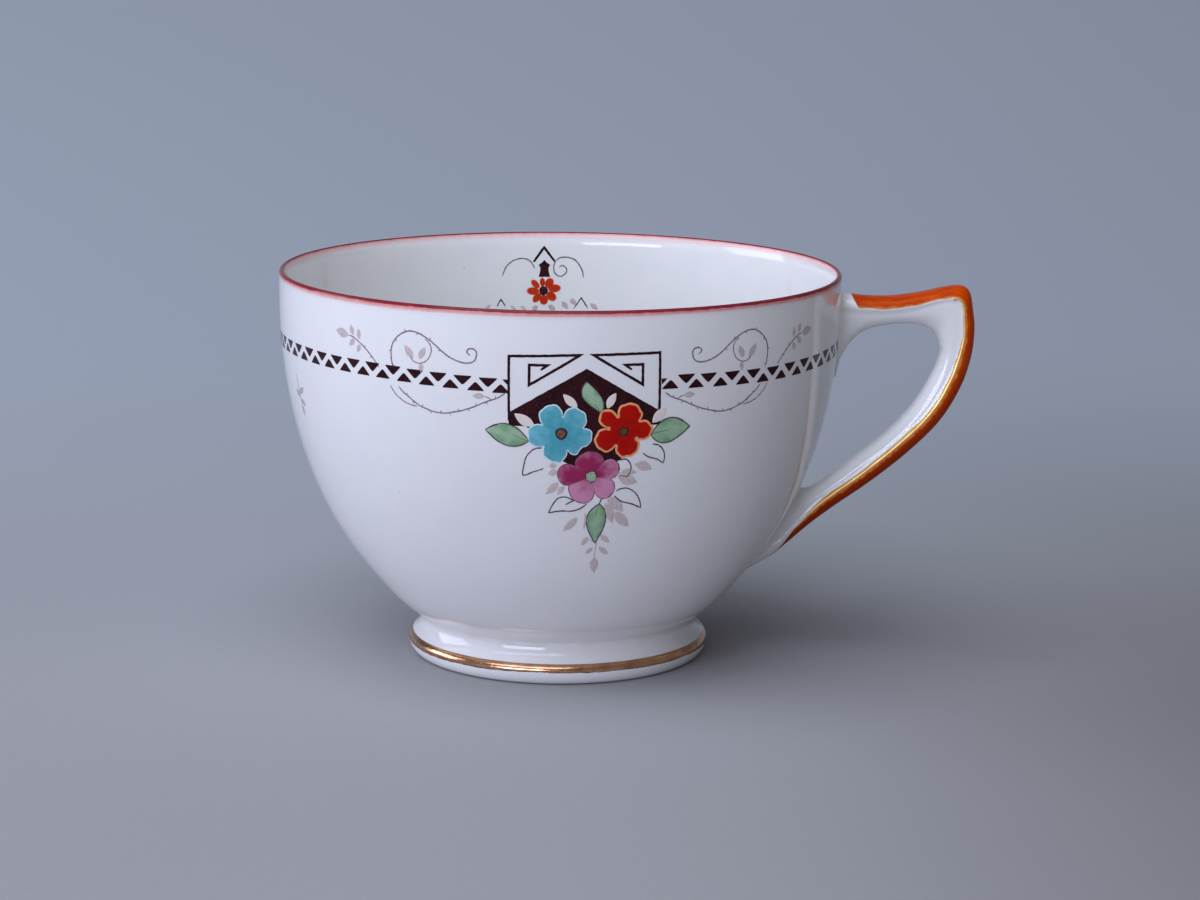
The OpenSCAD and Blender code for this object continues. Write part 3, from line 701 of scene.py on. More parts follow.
# Stations along the handle: [outer x, outer z, inner x, inner z, half of the width in millimetres].
HANDLE = np.array([
    [43.4, 56.5, 42.4, 43.4, 3.6], [44.6, 56.4, 43.0, 46.1, 3.3], [46.4, 56.2, 44.5, 48.9, 3.12],
    [48.6, 56.1, 46.8, 50.9, 3.0], [51.4, 56.2, 50.3, 51.8, 3.0], [55.2, 56.8, 53.6, 52.0, 3.0],
    [58.8, 57.6, 55.3, 51.8, 3.0], [60.8, 57.9, 56.1, 51.5, 3.0], [62.1, 57.6, 56.8, 51.1, 3.0],
    [62.8, 56.7, 57.3, 50.7, 3.0], [63.2, 54.8, 57.8, 50.0, 3.0], [63.6, 51.2, 58.2, 48.8, 3.0],
    [63.2, 47.0, 58.3, 47.3, 3.0], [61.7, 42.2, 57.3, 44.4, 3.0], [58.7, 37.0, 54.6, 39.6, 3.0],
    [53.9, 32.0, 50.5, 35.0, 3.0], [48.1, 27.2, 45.3, 30.8, 2.88], [43.2, 23.7, 41.0, 27.4, 2.88],
    [39.4, 20.8, 38.9, 26.1, 2.94], [35.9, 17.7, 37.8, 25.9, 3.0], [33.0, 15.2, 37.3, 26.3, 3.12],
    [28.7, 12.6, 37.1, 26.8, 3.3]]) * np.array([WIDE, TALL, WIDE, TALL, 1])
LAST = len(HANDLE) - 1
SQUARE = 2.6
# The bead is wider than the rest of the section by this share, over this distance.
BEAD_STEP, BEAD_SPAN = 0.1, 0.75


# How far the enamel reaches in from the outer edge, at stations along the handle.
WRAP_AT = [0, 5, 7, 9, 11, 13, 15, 16, 17, 18, 19, LAST]
WRAP = [1.6, 1.6, 1.9, 1.75, 1.75, 1.95, 2.05, 1.9, 1.75, 1.95, 2.25, 2.4]


def wrap(t):
    """The enamel's reach at station t, which is also where the bead along the outer edge ends."""
    return np.interp(t, WRAP_AT, WRAP)


def rounded(v):
    """Turns a sine or cosine into one of a superellipse."""
    return np.sign(v) * abs(v) ** (2 / SQUARE)


def handle_surface(t, angle, lift):
    """A point of the handle: station t, angle round the section from its outer edge, and lift."""
    t, angle, lift = np.broadcast_arrays(t, angle, lift)
    s = along(HANDLE, t)
    middle = (s[..., 0:2] + s[..., 2:4]) / 2
    depth = np.linalg.norm(s[..., 0:2] - s[..., 2:4], axis=-1) / 2
    across = (s[..., 0:2] - s[..., 2:4]) / (2 * depth[..., None])
    d = (depth + lift) * rounded(np.cos(angle))
    step = np.clip((depth - d - wrap(t) - 0.1) / BEAD_SPAN, 0, 1)
    y = (s[..., 4] * (1 - BEAD_STEP * step**2 * (3 - 2 * step)) + lift) * rounded(np.sin(angle))
    return np.stack([middle[..., 0] + across[..., 0] * d, y, middle[..., 1] + across[..., 1] * d], -1)


def press(points, gap):
    """Moves points of the handle along X until they lie on the wall of the bowl, or a gap off it."""
    x = np.sqrt((bowl_radius(points[..., 2]) + gap) ** 2 - points[..., 1] ** 2)
    return np.stack([x, points[..., 1], points[..., 2]], -1)


def handle():
    """The section swept along the stations. Both ends are let into the wall and capped."""
    t = np.linspace(0, LAST, 253)[:, None]
    a = np.linspace(0, 2 * np.pi, 72, endpoint=False)[None, :]
    rings = handle_surface(t, a, 0.0)
    rings[0], rings[-1] = press(rings[0], -0.4), press(rings[-1], -0.4)
    caps = [np.broadcast_to(ring.mean(0), ring.shape)[None] for ring in (rings[0], rings[-1])]
    return sheet(np.concatenate([caps[0], rings, caps[1]]), (False, True))


def handle_joint(end, t, narrow, wide):
    """A hollow fillet of slip round one end of the handle: narrow above and below it, wide at its sides."""
    a = np.linspace(0, 2 * np.pi, 96, endpoint=False)[:, None]
    spread = narrow + (wide - narrow) * abs(np.sin(a)) ** 2
    on_bowl = press(handle_surface(end, a, spread), 0.0)
    corner = press(handle_surface(end, a, 0.0), 0.02)
    on_clay = handle_surface(t, a, 0.015)
    x = np.linspace(0, 1, 10)[None, :, None]
    fillet = on_bowl * (1 - x) ** 2 + 2 * corner * x * (1 - x) + on_clay * x**2
    inner = handle_surface(t, a, -0.5)
    under = press(handle_surface(end, a, -0.5), -0.5)
    foot_in = press(handle_surface(end, a, spread), -0.3)
    return sheet(np.concatenate([fillet, inner, under, foot_in], 1), (True, True))


# ---------------------------------------------------------------- enamel and gold lines


# How far the rim line reaches down from the start of the lip's curve.
RIM_OUTSIDE, RIM_INSIDE = 0.36, 0.3


def rim_line():
    """A profile turned round Z: up the outside, over the crest and down the inside, with uneven edges."""
    inner = inside_radius(np.array([LIP_Z]))[0]
    turn = np.radians(np.linspace(0, 180, 19))
    half = (RIM_R - inner) / 2
    over_r = (RIM_R + inner) / 2 + (half + 0.02) * np.cos(turn)
    over_z = LIP_Z + (LIP_RISE + 0.05) * np.sin(turn)
    steps = 288
    out_low = RIM_OUTSIDE + waves(steps, (3, 7, 16, 41), 0.05, 2.0)
    in_low = RIM_INSIDE + waves(steps, (4, 9, 21, 37), 0.05, 1.1)
    drop = np.linspace(1, 0, 6)[None, :-1]
    out_z, in_z = LIP_Z - out_low * drop, LIP_Z - in_low * drop[:, ::-1]
    out_r = RIM_R + 0.02 * (1 - drop**4)
    radius = np.concatenate([out_r + 0 * out_z, over_r + 0 * out_z[:, :1],
                             inside_radius(in_z) - 0.02 * (1 - drop[:, ::-1] ** 4)], 1)
    z = np.concatenate([out_z, over_z + 0 * out_z[:, :1], in_z], 1)
    crest = np.interp(np.linspace(0, 1, 19), [0, 0.12, 0.4, 0.7, 0.84, 1], [0.62, 0.4, 0.0, 0.32, 0.78, 1.0])
    edge = np.concatenate([0.62 + 0.38 * drop[0], crest, np.ones(5)])
    middle = (RIM_R + inner) / 2
    back_r = middle + (radius - middle) * 0.82
    back_z = z - 0.12
    profile = np.concatenate([radius, back_r[:, ::-1]], 1), np.concatenate([z, back_z[:, ::-1]], 1)
    return lathe(*profile, steps, edge=np.concatenate([edge, edge[::-1]])[None, :])


def foot_band():
    """A gold band on the foot's edge. Its lower edge is worn and uneven."""
    steps = 576
    worn = waves(steps, (2, 5, 11, 23, 59), 0.035, 0.6) + 0.012 * rng.normal(size=(steps, 1))
    x = np.linspace(0, 1, 16)[None, :]
    angle = GILT_LOW + worn + (GILT_HIGH - GILT_LOW - worn) * x
    lift = 0.03 * (1 - (2 * x - 1) ** 6)
    r, z = foot_edge(angle, lift)
    r2, z2 = foot_edge(angle, -SINK)
    edge = abs(2 * x - 1) ** 2
    profile = np.concatenate([r, r2[:, ::-1]], 1), np.concatenate([z, z2[:, ::-1]], 1)
    return lathe(*profile, steps, edge=np.concatenate([edge, edge[:, ::-1]], 1))


def wrap_angle(t, inward):
    """The angle round the section where the side is a given distance in from the outer edge."""
    s = along(HANDLE, t)
    depth = np.linalg.norm(s[..., 0:2] - s[..., 2:4], axis=-1) / 2
    x = np.clip((depth - inward) / depth, -1, 1)
    return np.arccos(np.sign(x) * abs(x) ** (SQUARE / 2))


def wobble(n, size, smoothing):
    """Seeded random numbers, smoothed along a line."""
    raw = rng.normal(size=n + 2 * smoothing)
    bell = np.hanning(2 * smoothing + 1)
    return size * np.convolve(raw, bell / np.sqrt((bell**2).sum()), mode="valid")


def handle_back_enamel():
    """Enamel over the handle's outer edge and a little way down both sides, with brushed edges."""
    rows = 420
    v = np.linspace(-1, 1, 33)[None, :]
    start, finish = 1.0 + 0.75 * abs(v) ** 2, LAST - 0.9 - 1.1 * abs(v) ** 1.5
    t = start + (finish - start) * np.linspace(0, 1, rows)[:, None]
    uneven = np.stack([wobble(rows, 0.035, 9), wobble(rows, 0.035, 9)], 1)
    sides = [wrap_angle(t, wrap(t) + uneven[:, k:k + 1]) for k in (0, 1)]
    angle = np.where(v < 0, v * sides[0], v * sides[1])
    height = 0.06 * (1 - abs(v) ** 8)
    return layer(handle_surface(t, angle, height), handle_surface(t, angle, -SINK), edge=abs(v))


GOLD_START, GOLD_SHORT, GOLD_WIDTH = 7.3, 9.6, 0.66


def handle_gold(side):
    """A gold line where the enamel meets the white, from a blob at the outer corner down to the tail."""
    rows = 300
    x = np.linspace(0, 1, rows)[:, None]
    t = GOLD_START + (LAST - GOLD_SHORT) * x
    width = GOLD_WIDTH * np.clip(np.minimum(0.15 + x / 0.6, (1 - x) / 0.12), 0, 1) ** 0.6
    width = width + 0.4 * np.exp(-(((x - 0.02) / 0.025) ** 2)) + wobble(rows, 0.035, 6)[:, None]
    width = np.maximum(width, 0.03)
    v = np.linspace(0, 1, 6)[None, :]
    angle = side * wrap_angle(t, wrap(t) - 0.06 + width * v)
    height = 0.05 * (1 - (2 * v - 1) ** 4)
    return layer(handle_surface(t, angle, height), handle_surface(t, angle, -SINK), edge=abs(2 * v - 1))


# ---------------------------------------------------------------- printed pattern

PRINT, THICK = 0.02, 0.09
HALF_TURN = np.pi * DRAWN_R
LATTICE_COUNT, LATTICE_START, LATTICE_END = 29, 12.35, HALF_TURN - 12.2
# Triangles of the two rows, as the height of the base, the height of the point, and the width.
LOWER_ROW, UPPER_ROW = (48.1, 49.35, 2.5), (50.15, 48.85, 2.7)
PANEL_SIDE, HANDLE_CLEAR, SPRIG_AT = 11.0, 4.2, -54.3


def triangle(middle, base_z, point_z, width, cut=(-1.0, 1.0)):
    """A small printed triangle with blunt corners, whose base is level. It may be cut off at a side."""
    s = np.linspace(cut[0], cut[1], 5)[None, :]
    h = np.array([0, 0.12, 0.5, 0.9, 1.0])[:, None]
    half = width / 2 * np.array([0.97, 0.96, 0.6, 0.2, 0.05])[:, None]
    lean = rng.uniform(-0.05, 0.05)
    u = middle + s * half + lean * h + rng.uniform(-0.04, 0.04)
    z = base_z + (point_z - base_z) * h + 0 * s + rng.uniform(-0.03, 0.03)
    return wall_layer(np.stack([u + 0 * h, z], -1), PRINT, FRONT, edge=abs(s) + 0 * h, tone=0.0)


def lattice():
    """Two rows of triangles, point to point, that stop at the panels and at the handle.

    The printed strip is stretched a little, and it wanders up and down on its way round.
    """
    made = []
    x = np.arange(0, LATTICE_COUNT - 0.5, 0.5) / (LATTICE_COUNT - 1)
    places = LATTICE_START + (LATTICE_END - LATTICE_START) * (x + 0.05 * x * (1 - x))
    places[1] += 0.4
    rise = np.interp(x, [0, 0.16, 0.4, 0.57, 0.82, 1.0], [0.35, -0.1, 0.3, 0.7, 0.6, -0.1])
    for turn in (0, HALF_TURN):
        for k, (u, up) in enumerate(zip(turn + places, rise)):
            base, point, width = (LOWER_ROW, UPPER_ROW)[k % 2]
            if abs((FRONT + u / DRAWN_R) - np.pi / 2) * DRAWN_R > HANDLE_CLEAR:
                made.append(triangle(u, base + up, point + up, width))
        for near, cut in ((turn + PANEL_SIDE, (0, 1)), (turn + HALF_TURN - PANEL_SIDE - 0.1, (-1, 0))):
            made.append(triangle(near, 50.0, 49.2, 1.7, cut))
    return made


# Places on the wall are [millimetres round from the panel's middle, height].
KEY_WIDTH = 0.39
KEY = [[0.9, 53.7], [8.15, 49.3], [8.1, 52.2], [5.5, 52.2], [6.5, 51.5]]


def mirrored(line):
    """The same line on the other side of the panel's middle."""
    return [[-p[0], *p[1:]] for p in line]


def key_lines(az):
    """The frame's two halves, each one line that turns in on itself like a key."""
    lines = [[10.9, 44.0], [10.6, 53.8]] + KEY, [[-11.1, 44.0], [-11.0, 53.4]] + mirrored(KEY)
    return [stroke(split(line, 0.3), KEY_WIDTH, PRINT * 1.6, az, ends=0.6) for line in lines]


def dark_ground(az):
    """A dark roof behind the flowers: its upper edge falls to both sides, its lower edge is hidden."""
    u = np.linspace(-11.15, 11.15, 91)[:, None]
    top = 51.75 - 0.585 * abs(u)
    low = np.interp(u, [-11.15, -8.6, -7.2, -5.8, -4.2, -2.2, -1, 5.2, 7.0, 8.6, 9.6, 11.15],
                    [43.25, 43.3, 41.6, 39.8, 38.6, 37.6, 37.3, 38.1, 40.0, 42.4, 43.3, 43.25])
    s = np.linspace(0, 1, 16)[None, :]
    place = np.stack([u + 0 * s, low + (top - low) * s + wobble(91, 0.02, 2)[:, None] * s], -1)
    return [wall_layer(place, PRINT, az, edge=0.0, tone=0.0)]


SCROLL_CURL = [[16.6, 53.2], [17.1, 53.6], [17.0, 54.0], [16.4, 54.2], [15.8, 53.9], [15.7, 53.3],
               [16.0, 52.5], [16.8, 52.1], [17.9, 52.1], [19.2, 52.5], [20.2, 53.0], [21.3, 53.8],
               [22.2, 54.5], [23.1, 55.1], [24.3, 55.7], [25.5, 56.0], [26.7, 55.9], [28.1, 55.1],
               [29.1, 53.9], [29.4, 52.5], [29.3, 51.2], [29.0, 50.2]]
SCROLL_ARC = [[28.3, 47.8], [27.5, 47.0], [26.3, 46.2], [25.1, 45.4], [24.0, 45.0], [22.6, 44.6],
              [21.0, 44.5], [19.3, 44.8], [17.8, 45.2], [16.2, 45.8], [14.9, 46.4], [13.9, 46.8],
              [12.6, 47.3], [11.6, 48.0]]
SCROLL_STRAND = [[29.8, 47.8], [29.1, 46.8], [28.1, 46.0], [26.9, 45.4], [25.2, 45.1]]
SCROLL_BRANCH = [[13.5, 46.9], [14.0, 47.2], [14.6, 47.4]]
SCROLL_LOOP = [[23.6, 55.1], [22.9, 54.5], [22.6, 53.6], [22.9, 52.6], [23.5, 51.9], [24.5, 51.5],
               [25.5, 51.7], [26.1, 52.3]]
SPRIG_STEM = [[31.7, 50.2], [32.3, 50.9], [33.3, 51.9], [34.3, 52.7], [35.4, 53.4], [36.6, 54.0],
              [37.6, 54.2]]
SCROLL_LEAVES = [((25.6, 52.1), (27.0, 53.9), 1.1), ((24.6, 52.1), (23.6, 53.9), 1.0),
                 ((24.2, 51.5), (24.4, 50.2), 0.8), ((37.7, 54.2), (40.5, 54.6), 1.4),
                 ((36.7, 54.3), (37.2, 55.8), 0.9), ((35.5, 53.8), (35.5, 55.4), 0.8),
                 ((36.4, 53.8), (37.5, 52.7), 0.9), ((35.3, 53.1), (35.9, 51.9), 0.8),
                 ((14.6, 47.4), (16.4, 47.4), 0.9)]


def only_edge_and_tone(layers):
    """Drops a leaf's third field, so that its layers can be one piece with drawn lines."""
    for s in layers:
        s[2].pop("far", None)
    return layers


def thorns(line, spacing, length):
    """Short pricks that stand out from a line, in turn on its one side and its other."""
    p = smooth(line, 6)
    d = np.gradient(p, axis=0)
    d = d / np.linalg.norm(d, axis=1)[:, None]
    far = np.concatenate([[0], np.cumsum(np.linalg.norm(np.diff(p, axis=0), axis=1))])
    picks = np.searchsorted(far, np.arange(spacing, far[-1] - 0.5, spacing))
    made = []
    for k, i in enumerate(picks):
        side = (1 if k % 2 else -1) * np.array([-d[i, 1], d[i, 0]])
        tip = p[i] + length * (0.8 * side + 0.5 * d[i])
        made.append(np.array([p[i], (p[i] + tip) / 2, tip]))
    return made


def scrolls(az):
    """On each side of the panel: a curl over a loop, a thorny arc below the lattice, and a leafy sprig."""
    made = []
    for line, width in ((SCROLL_CURL, 0.21), (SCROLL_ARC, 0.2), (SCROLL_LOOP, 0.16), (SCROLL_STRAND, 0.16),
                        (SCROLL_BRANCH, 0.15), (SPRIG_STEM, 0.2)):
        for one in (line, mirrored(line)):
            made.append(stroke(smooth(one, 5), width, PRINT, az, rough=0.25, tone=0.1))
    for line, gap in ((SCROLL_ARC, 1.5), (SCROLL_CURL[9:], 2.1), (SPRIG_STEM[:5], 1.8)):
        for prick in thorns(line, gap, 0.5):
            for side in (-1, 1):
                made.append(stroke(prick * [side, 1], 0.17, PRINT * 1.3, az, tone=0.1))
    for base, tip, width in SCROLL_LEAVES:
        for side in ([-1, 1], [1, 1]):
            made.append(plain_leaf(np.array(base) * side, np.array(tip) * side, width, PRINT, az, tone=0.85))
    return only_edge_and_tone(made)


def sprigs():
    """A faint sprig of four leaves below the lattice, on each side of the cup."""
    made = []
    for turn in (0, HALF_TURN):
        u = turn + SPRIG_AT
        stem = smooth([[u - 0.5, 46.0], [u - 0.1, 44.6], [u, 43.2], [u + 0.4, 41.4]], 5)
        made.append(stroke(stem, 0.18, PRINT, FRONT, rough=0.25, tone=0.2))
        leaves = (((u, 43.0), (u + 2.2, 44.2), 0.9), ((u + 0.1, 42.4), (u - 1.6, 43.6), 0.8),
                  ((u + 0.4, 41.5), (u + 0.6, 39.6), 1.0), ((u + 0.2, 42.2), (u + 2.2, 41.4), 0.8))
        for base, tip, width in leaves:
            made.append(plain_leaf(base, tip, width, PRINT, FRONT, tone=0.7))
    return only_edge_and_tone(made)


# ---------------------------------------------------------------- painted flowers and leaves

# Each flower has its middle, its notches as (angle, radius), the reach of each petal after a notch,
# and the tone of each petal from deep (0) to pale (1).
TURQUOISE_AT, RED_AT, PINK_AT = (-3.5, 42.3), (5.6, 42.5), (1.1, 35.8)
TURQUOISE_NOTCHES = [(14, 3.2), (84, 2.5), (155, 2.9), (217, 3.2), (290, 2.5), (328, 3.7)]
RED_NOTCHES = [(32, 2.6), (113, 2.2), (168, 2.3), (244, 2.2), (330, 2.3)]
PINK_NOTCHES = [(51, 2.6), (147, 2.7), (202, 3.4), (284, 2.0), (351, 2.6)]
TURQUOISE_REACHES, TURQUOISE_TONES = [4.5, 4.6, 5.0, 4.5, 3.9, 4.6], [0.35, 0.3, 0.45, 0.2, 0.2, 0.3]
RED_REACHES, RED_TONES = [4.3, 4.5, 4.5, 4.05, 4.4], [0.5, 0.5, 0.35, 0.5, 0.6]
PINK_REACHES, PINK_TONES = [3.8, 5.1, 4.4, 4.4, 4.4], [0.12, 0.12, 0.85, 1.0, 0.5]
PINK_SWELLING = 0.55


def turquoise_flower(az):
    """Six petals."""
    return [flower(TURQUOISE_AT, TURQUOISE_NOTCHES, TURQUOISE_REACHES, THICK, az, TURQUOISE_TONES, 0.62)]


def red_flower(az):
    """Five petals."""
    return [flower(RED_AT, RED_NOTCHES, RED_REACHES, THICK, az, RED_TONES, 0.52)]


def pink_flower(az):
    """Five petals: the upper ones deep, the lower ones pale."""
    return [flower(PINK_AT, PINK_NOTCHES, PINK_REACHES, THICK, az, PINK_TONES, PINK_SWELLING)]


def flower_centres(az):
    """A domed dot on the middle of each flower."""
    dots = (TURQUOISE_AT, 0.88, 0.0), (RED_AT, 0.72, 0.5), (PINK_AT, 0.88, 1.0)
    return [dot(middle, radius, THICK * 1.7, az, tone=tone) for middle, radius, tone in dots]


# Each leaf is its base, its tip and a point half way up each side.
GREEN_LEAVES = [((-8.2, 41.1), (-14.6, 42.5), (-11.2, 43.5), (-11.4, 40.3)),
                ((9.8, 41.8), (15.9, 42.7), (12.5, 44.2), (12.4, 40.5)),
                ((2.3, 45.3), (0.0, 49.9), (-0.5, 47.6), (2.3, 47.4)),
                ((2.6, 31.5), (2.4, 25.2), (0.7, 28.9), (3.8, 29.0))]
VEINS = [[[-8.0, 41.0], [-9.2, 41.4], [-10.4, 41.9]], [[9.9, 41.9], [11.2, 42.2], [12.7, 42.4]],
         [[2.2, 45.4], [1.8, 45.9], [1.3, 46.6]], [[2.9, 32.3], [2.4, 31.0], [2.1, 29.5]]]
PALE_LEAVES = [((-1.2, 46.2), (-3.3, 48.1), 1.2, 0.1), ((3.1, 45.9), (4.3, 48.2), 1.2, 0.1),
               ((-7.4, 43.4), (-10.3, 45.1), 1.5, 0.1), ((9.9, 43.6), (11.9, 46.0), 1.5, -0.1),
               ((-3.9, 34.9), (-5.8, 33.1), 1.2, 0.1), ((-3.0, 34.4), (-4.0, 33.0), 0.9, 0.0),
               ((-4.0, 36.6), (-5.4, 36.2), 1.1, 0.0), ((-4.1, 37.5), (-5.4, 37.4), 0.8, 0.0),
               ((7.7, 37.5), (10.4, 36.6), 1.5, 0.1), ((5.2, 35.7), (8.3, 34.6), 1.7, 0.0),
               ((5.4, 36.2), (8.1, 36.2), 1.0, 0.2), ((3.6, 32.4), (6.5, 30.1), 1.7, 0.3),
               ((3.5, 31.6), (5.0, 28.4), 1.6, 0.1), ((5.2, 30.2), (7.8, 27.7), 1.6, -0.1),
               ((-0.8, 29.4), (-3.1, 27.2), 1.2, 0.1), ((0.3, 30.1), (0.2, 27.4), 0.6, 0.35),
               ((1.1, 26.2), (0.1, 24.8), 0.9, 0.0), ((3.2, 26.4), (4.9, 25.2), 0.9, 0.0),
               ((2.1, 24.4), (0.9, 23.4), 0.8, 0.0), ((3.1, 24.5), (4.9, 23.2), 0.9, 0.0),
               ((2.5, 22.8), (2.8, 20.1), 1.5, 0.0)]
PALE_STEMS = [[[2.8, 26.6], [2.6, 24.6], [2.5, 22.6]], [[2.5, 25.3], [1.6, 25.6], [1.0, 26.0]]]
DRAWN_LEAVES = [[[-6.3, 40.1], [-7.5, 39.9], [-8.6, 38.8], [-9.1, 37.2], [-9.2, 35.9], [-7.7, 36.4],
                 [-6.1, 37.0]],
                [[-1.5, 32.1], [-2.7, 32.6], [-3.9, 32.4], [-4.8, 31.3], [-5.4, 30.1]],
                [[-5.4, 30.1], [-3.6, 30.4], [-1.7, 30.4], [-0.4, 30.8], [0.6, 31.5]],
                [[-2.7, 31.4], [-2.0, 31.8], [-1.2, 32.1]],
                [[10.2, 40.4], [11.1, 40.2], [11.9, 39.5], [12.3, 38.4], [12.2, 37.4]],
                [[12.2, 37.4], [11.0, 38.1], [9.7, 38.5], [8.8, 39.1]],
                [[5.1, 33.4], [5.9, 33.8], [7.2, 33.7], [8.4, 32.8], [9.1, 31.7], [9.4, 30.6]],
                [[9.4, 30.6], [7.8, 31.3], [6.0, 31.8], [4.9, 32.7]],
                [[4.9, 38.1], [6.2, 38.3], [7.0, 37.5], [7.1, 36.6], [6.6, 35.7], [5.4, 35.9]]]


def green_leaves(az):
    """Four leaves round the flowers."""
    return [leaf(*shape, THICK * 0.6, az) for shape in GREEN_LEAVES]


def pale_leaves(az):
    """Faint leaves behind the flowers, and white-veined ones on the dark ground."""
    made = [plain_leaf(base, tip, width, PRINT * 2.2, az, bend=bend, tone=1.0 if base[1] < 40 else 2.0)
            for base, tip, width, bend in PALE_LEAVES]
    made += [stroke(smooth(line, 4), 0.2, PRINT, az, tone=0.9, rough=0.3) for line in PALE_STEMS]
    return only_edge_and_tone(made)


def outlined_leaves(az):
    """Fine drawn lines: empty leaves, and the outlines and veins of the green ones and the pink flower."""
    lines = [smooth(line, 6) for line in DRAWN_LEAVES] + [leaf_line(*shape) for shape in GREEN_LEAVES]
    lines += [smooth(line, 6) for line in VEINS]
    made = [stroke(line, 0.17, THICK * 0.75, az, rough=0.3, ends=0.5, tone=0.6) for line in lines]
    angle = np.linspace(0, 360, 181)
    radius = flower_outline(angle, PINK_NOTCHES, PINK_REACHES, PINK_SWELLING)[0] + 0.02
    a = np.radians(angle)
    ring = np.stack([PINK_AT[0] + radius * np.cos(a), PINK_AT[1] + radius * np.sin(a)], -1)
    return made + [stroke(ring, 0.12, THICK * 0.5, az, rough=0.3, tone=0.7)]


# ---------------------------------------------------------------- motif on the inside

INSIDE_AT = (0.8, 50.2)
INSIDE_PETALS = [((0.7, 50.8), (0.55, 52.4), 1.0), ((0.1, 50.6), (-1.3, 52.0), 1.15),
                 ((1.3, 50.6), (2.3, 52.3), 1.6), ((1.5, 50.5), (3.9, 50.7), 1.45),
                 ((0.2, 50.1), (-2.2, 50.2), 1.4), ((0.3, 49.8), (-1.0, 48.3), 1.3),
                 ((1.3, 49.9), (3.0, 48.7), 1.6), ((0.8, 49.6), (0.9, 47.8), 1.65)]


def inside_roof():
    """A small roof over a pointed block, the flower's centre, and two faint peaks lower down."""
    roof = split([[-0.9, 55.0], [0.9, 57.4], [2.8, 55.0]], 0.3)
    made = [stroke(roof, 0.42, PRINT * 1.5, REAR, True, ends=0.7)]
    z = np.array([52.5, 53.0, 53.6, 54.1, 54.35, 54.6, 54.9, 55.3])[:, None]
    half = np.array([1.0, 0.85, 0.72, 0.72, 0.95, 0.9, 0.4, 0.03])[:, None]
    place = np.stack([0.95 + half * np.linspace(-1, 1, 5)[None, :], z + np.zeros((1, 5))], -1)
    made.append(wall_layer(place, PRINT, REAR, True, edge=0.0, tone=0.0))
    for line in ([[-7.4, 47.7], [-6.7, 48.9], [-5.9, 47.7]], [[6.1, 47.3], [7.4, 49.1], [8.6, 47.3]]):
        made.append(stroke(split(line, 0.3), 0.2, PRINT, REAR, True, tone=0.0, rough=0.3))
    made.append(dot(INSIDE_AT, 0.75, THICK, REAR, True, tone=0.25))
    return made


def inside_petals():
    """Eight short petals in a ring."""
    return [oval(base, tip, width, THICK * 0.6, REAR, True) for base, tip, width in INSIDE_PETALS]


def inside_scrolls():
    """A plain arch on one side, a curl on the other, and faint leaves below."""
    lines = [[[-6.4, 52.7], [-5.7, 54.2], [-4.7, 55.1], [-3.7, 55.5], [-2.8, 55.6], [-1.9, 55.4],
              [-1.2, 54.8], [-0.7, 53.9]],
             [[2.9, 55.2], [3.7, 55.7], [4.6, 55.8], [5.4, 55.7], [6.3, 55.3], [7.0, 54.5],
              [7.5, 53.5], [7.7, 52.4]],
             [[2.9, 55.1], [2.6, 54.4], [2.6, 53.5], [3.0, 52.9], [3.7, 52.6], [4.4, 52.9],
              [4.8, 53.5], [4.6, 54.1], [4.0, 54.4], [3.5, 54.1]]]
    made = [stroke(smooth(line, 5), 0.24, PRINT, REAR, True, rough=0.25, tone=0.1) for line in lines]
    leaves = [((-0.2, 47.7), (-1.2, 46.9)), ((1.6, 47.8), (2.9, 47.0)), ((4.0, 48.4), (5.1, 47.2)),
              ((5.5, 48.9), (6.5, 47.9)), ((9.0, 48.2), (10.4, 47.2)), ((-5.0, 47.8), (-4.0, 47.0)),
              ((-3.2, 47.7), (-2.2, 47.0)), ((-8.6, 48.1), (-9.6, 47.1))]
    for base, tip in leaves:
        width, tone = (0.9, 0.7) if base[0] > -1 else (0.6, 1.3)
        made.append(plain_leaf(base, tip, width, PRINT, REAR, True, tone=tone))
    return only_edge_and_tone(made)


# ---------------------------------------------------------------- all the pieces

make_piece("glazed_bowl", [bowl()], CHINA, "bone_china", "bowl")
make_piece("glazed_foot", [foot()], CHINA, "bone_china", "foot_ring")
make_piece("glazed_handle", [handle()], CHINA, "bone_china", "handle")
make_piece("foot_slip", [foot_joint()], SLIP, "luting_slip", "foot_slip_joint")
make_piece("upper_handle_slip", [handle_joint(0.0, 0.55, 0.25, 0.8)], SLIP,
           "luting_slip", "handle_slip_upper")
make_piece("lower_handle_slip", [handle_joint(float(LAST), LAST - 0.35, 0.25, 0.8)], SLIP,
           "luting_slip", "handle_slip_lower")
make_piece("rim_line", [rim_line()], RIM_RED, "rim_enamel", "rim_enamel_line")
make_piece("foot_gold", [foot_band()], FOOT_GOLD, "gilding", "foot_gilt_band")
make_piece("handle_orange", [handle_back_enamel()], ORANGE, "orange_enamel", "handle_enamel")
make_piece("handle_gold_front", [handle_gold(-1)], HANDLE_GOLD, "gilding", "handle_gilt_front")
make_piece("handle_gold_rear", [handle_gold(1)], HANDLE_GOLD, "gilding", "handle_gilt_rear")
make_piece("lattice", lattice(), DARK_INK, "dark_print", "lattice_band")
make_piece("sprigs", sprigs(), PALE_INK, "pale_print", "side_sprigs")

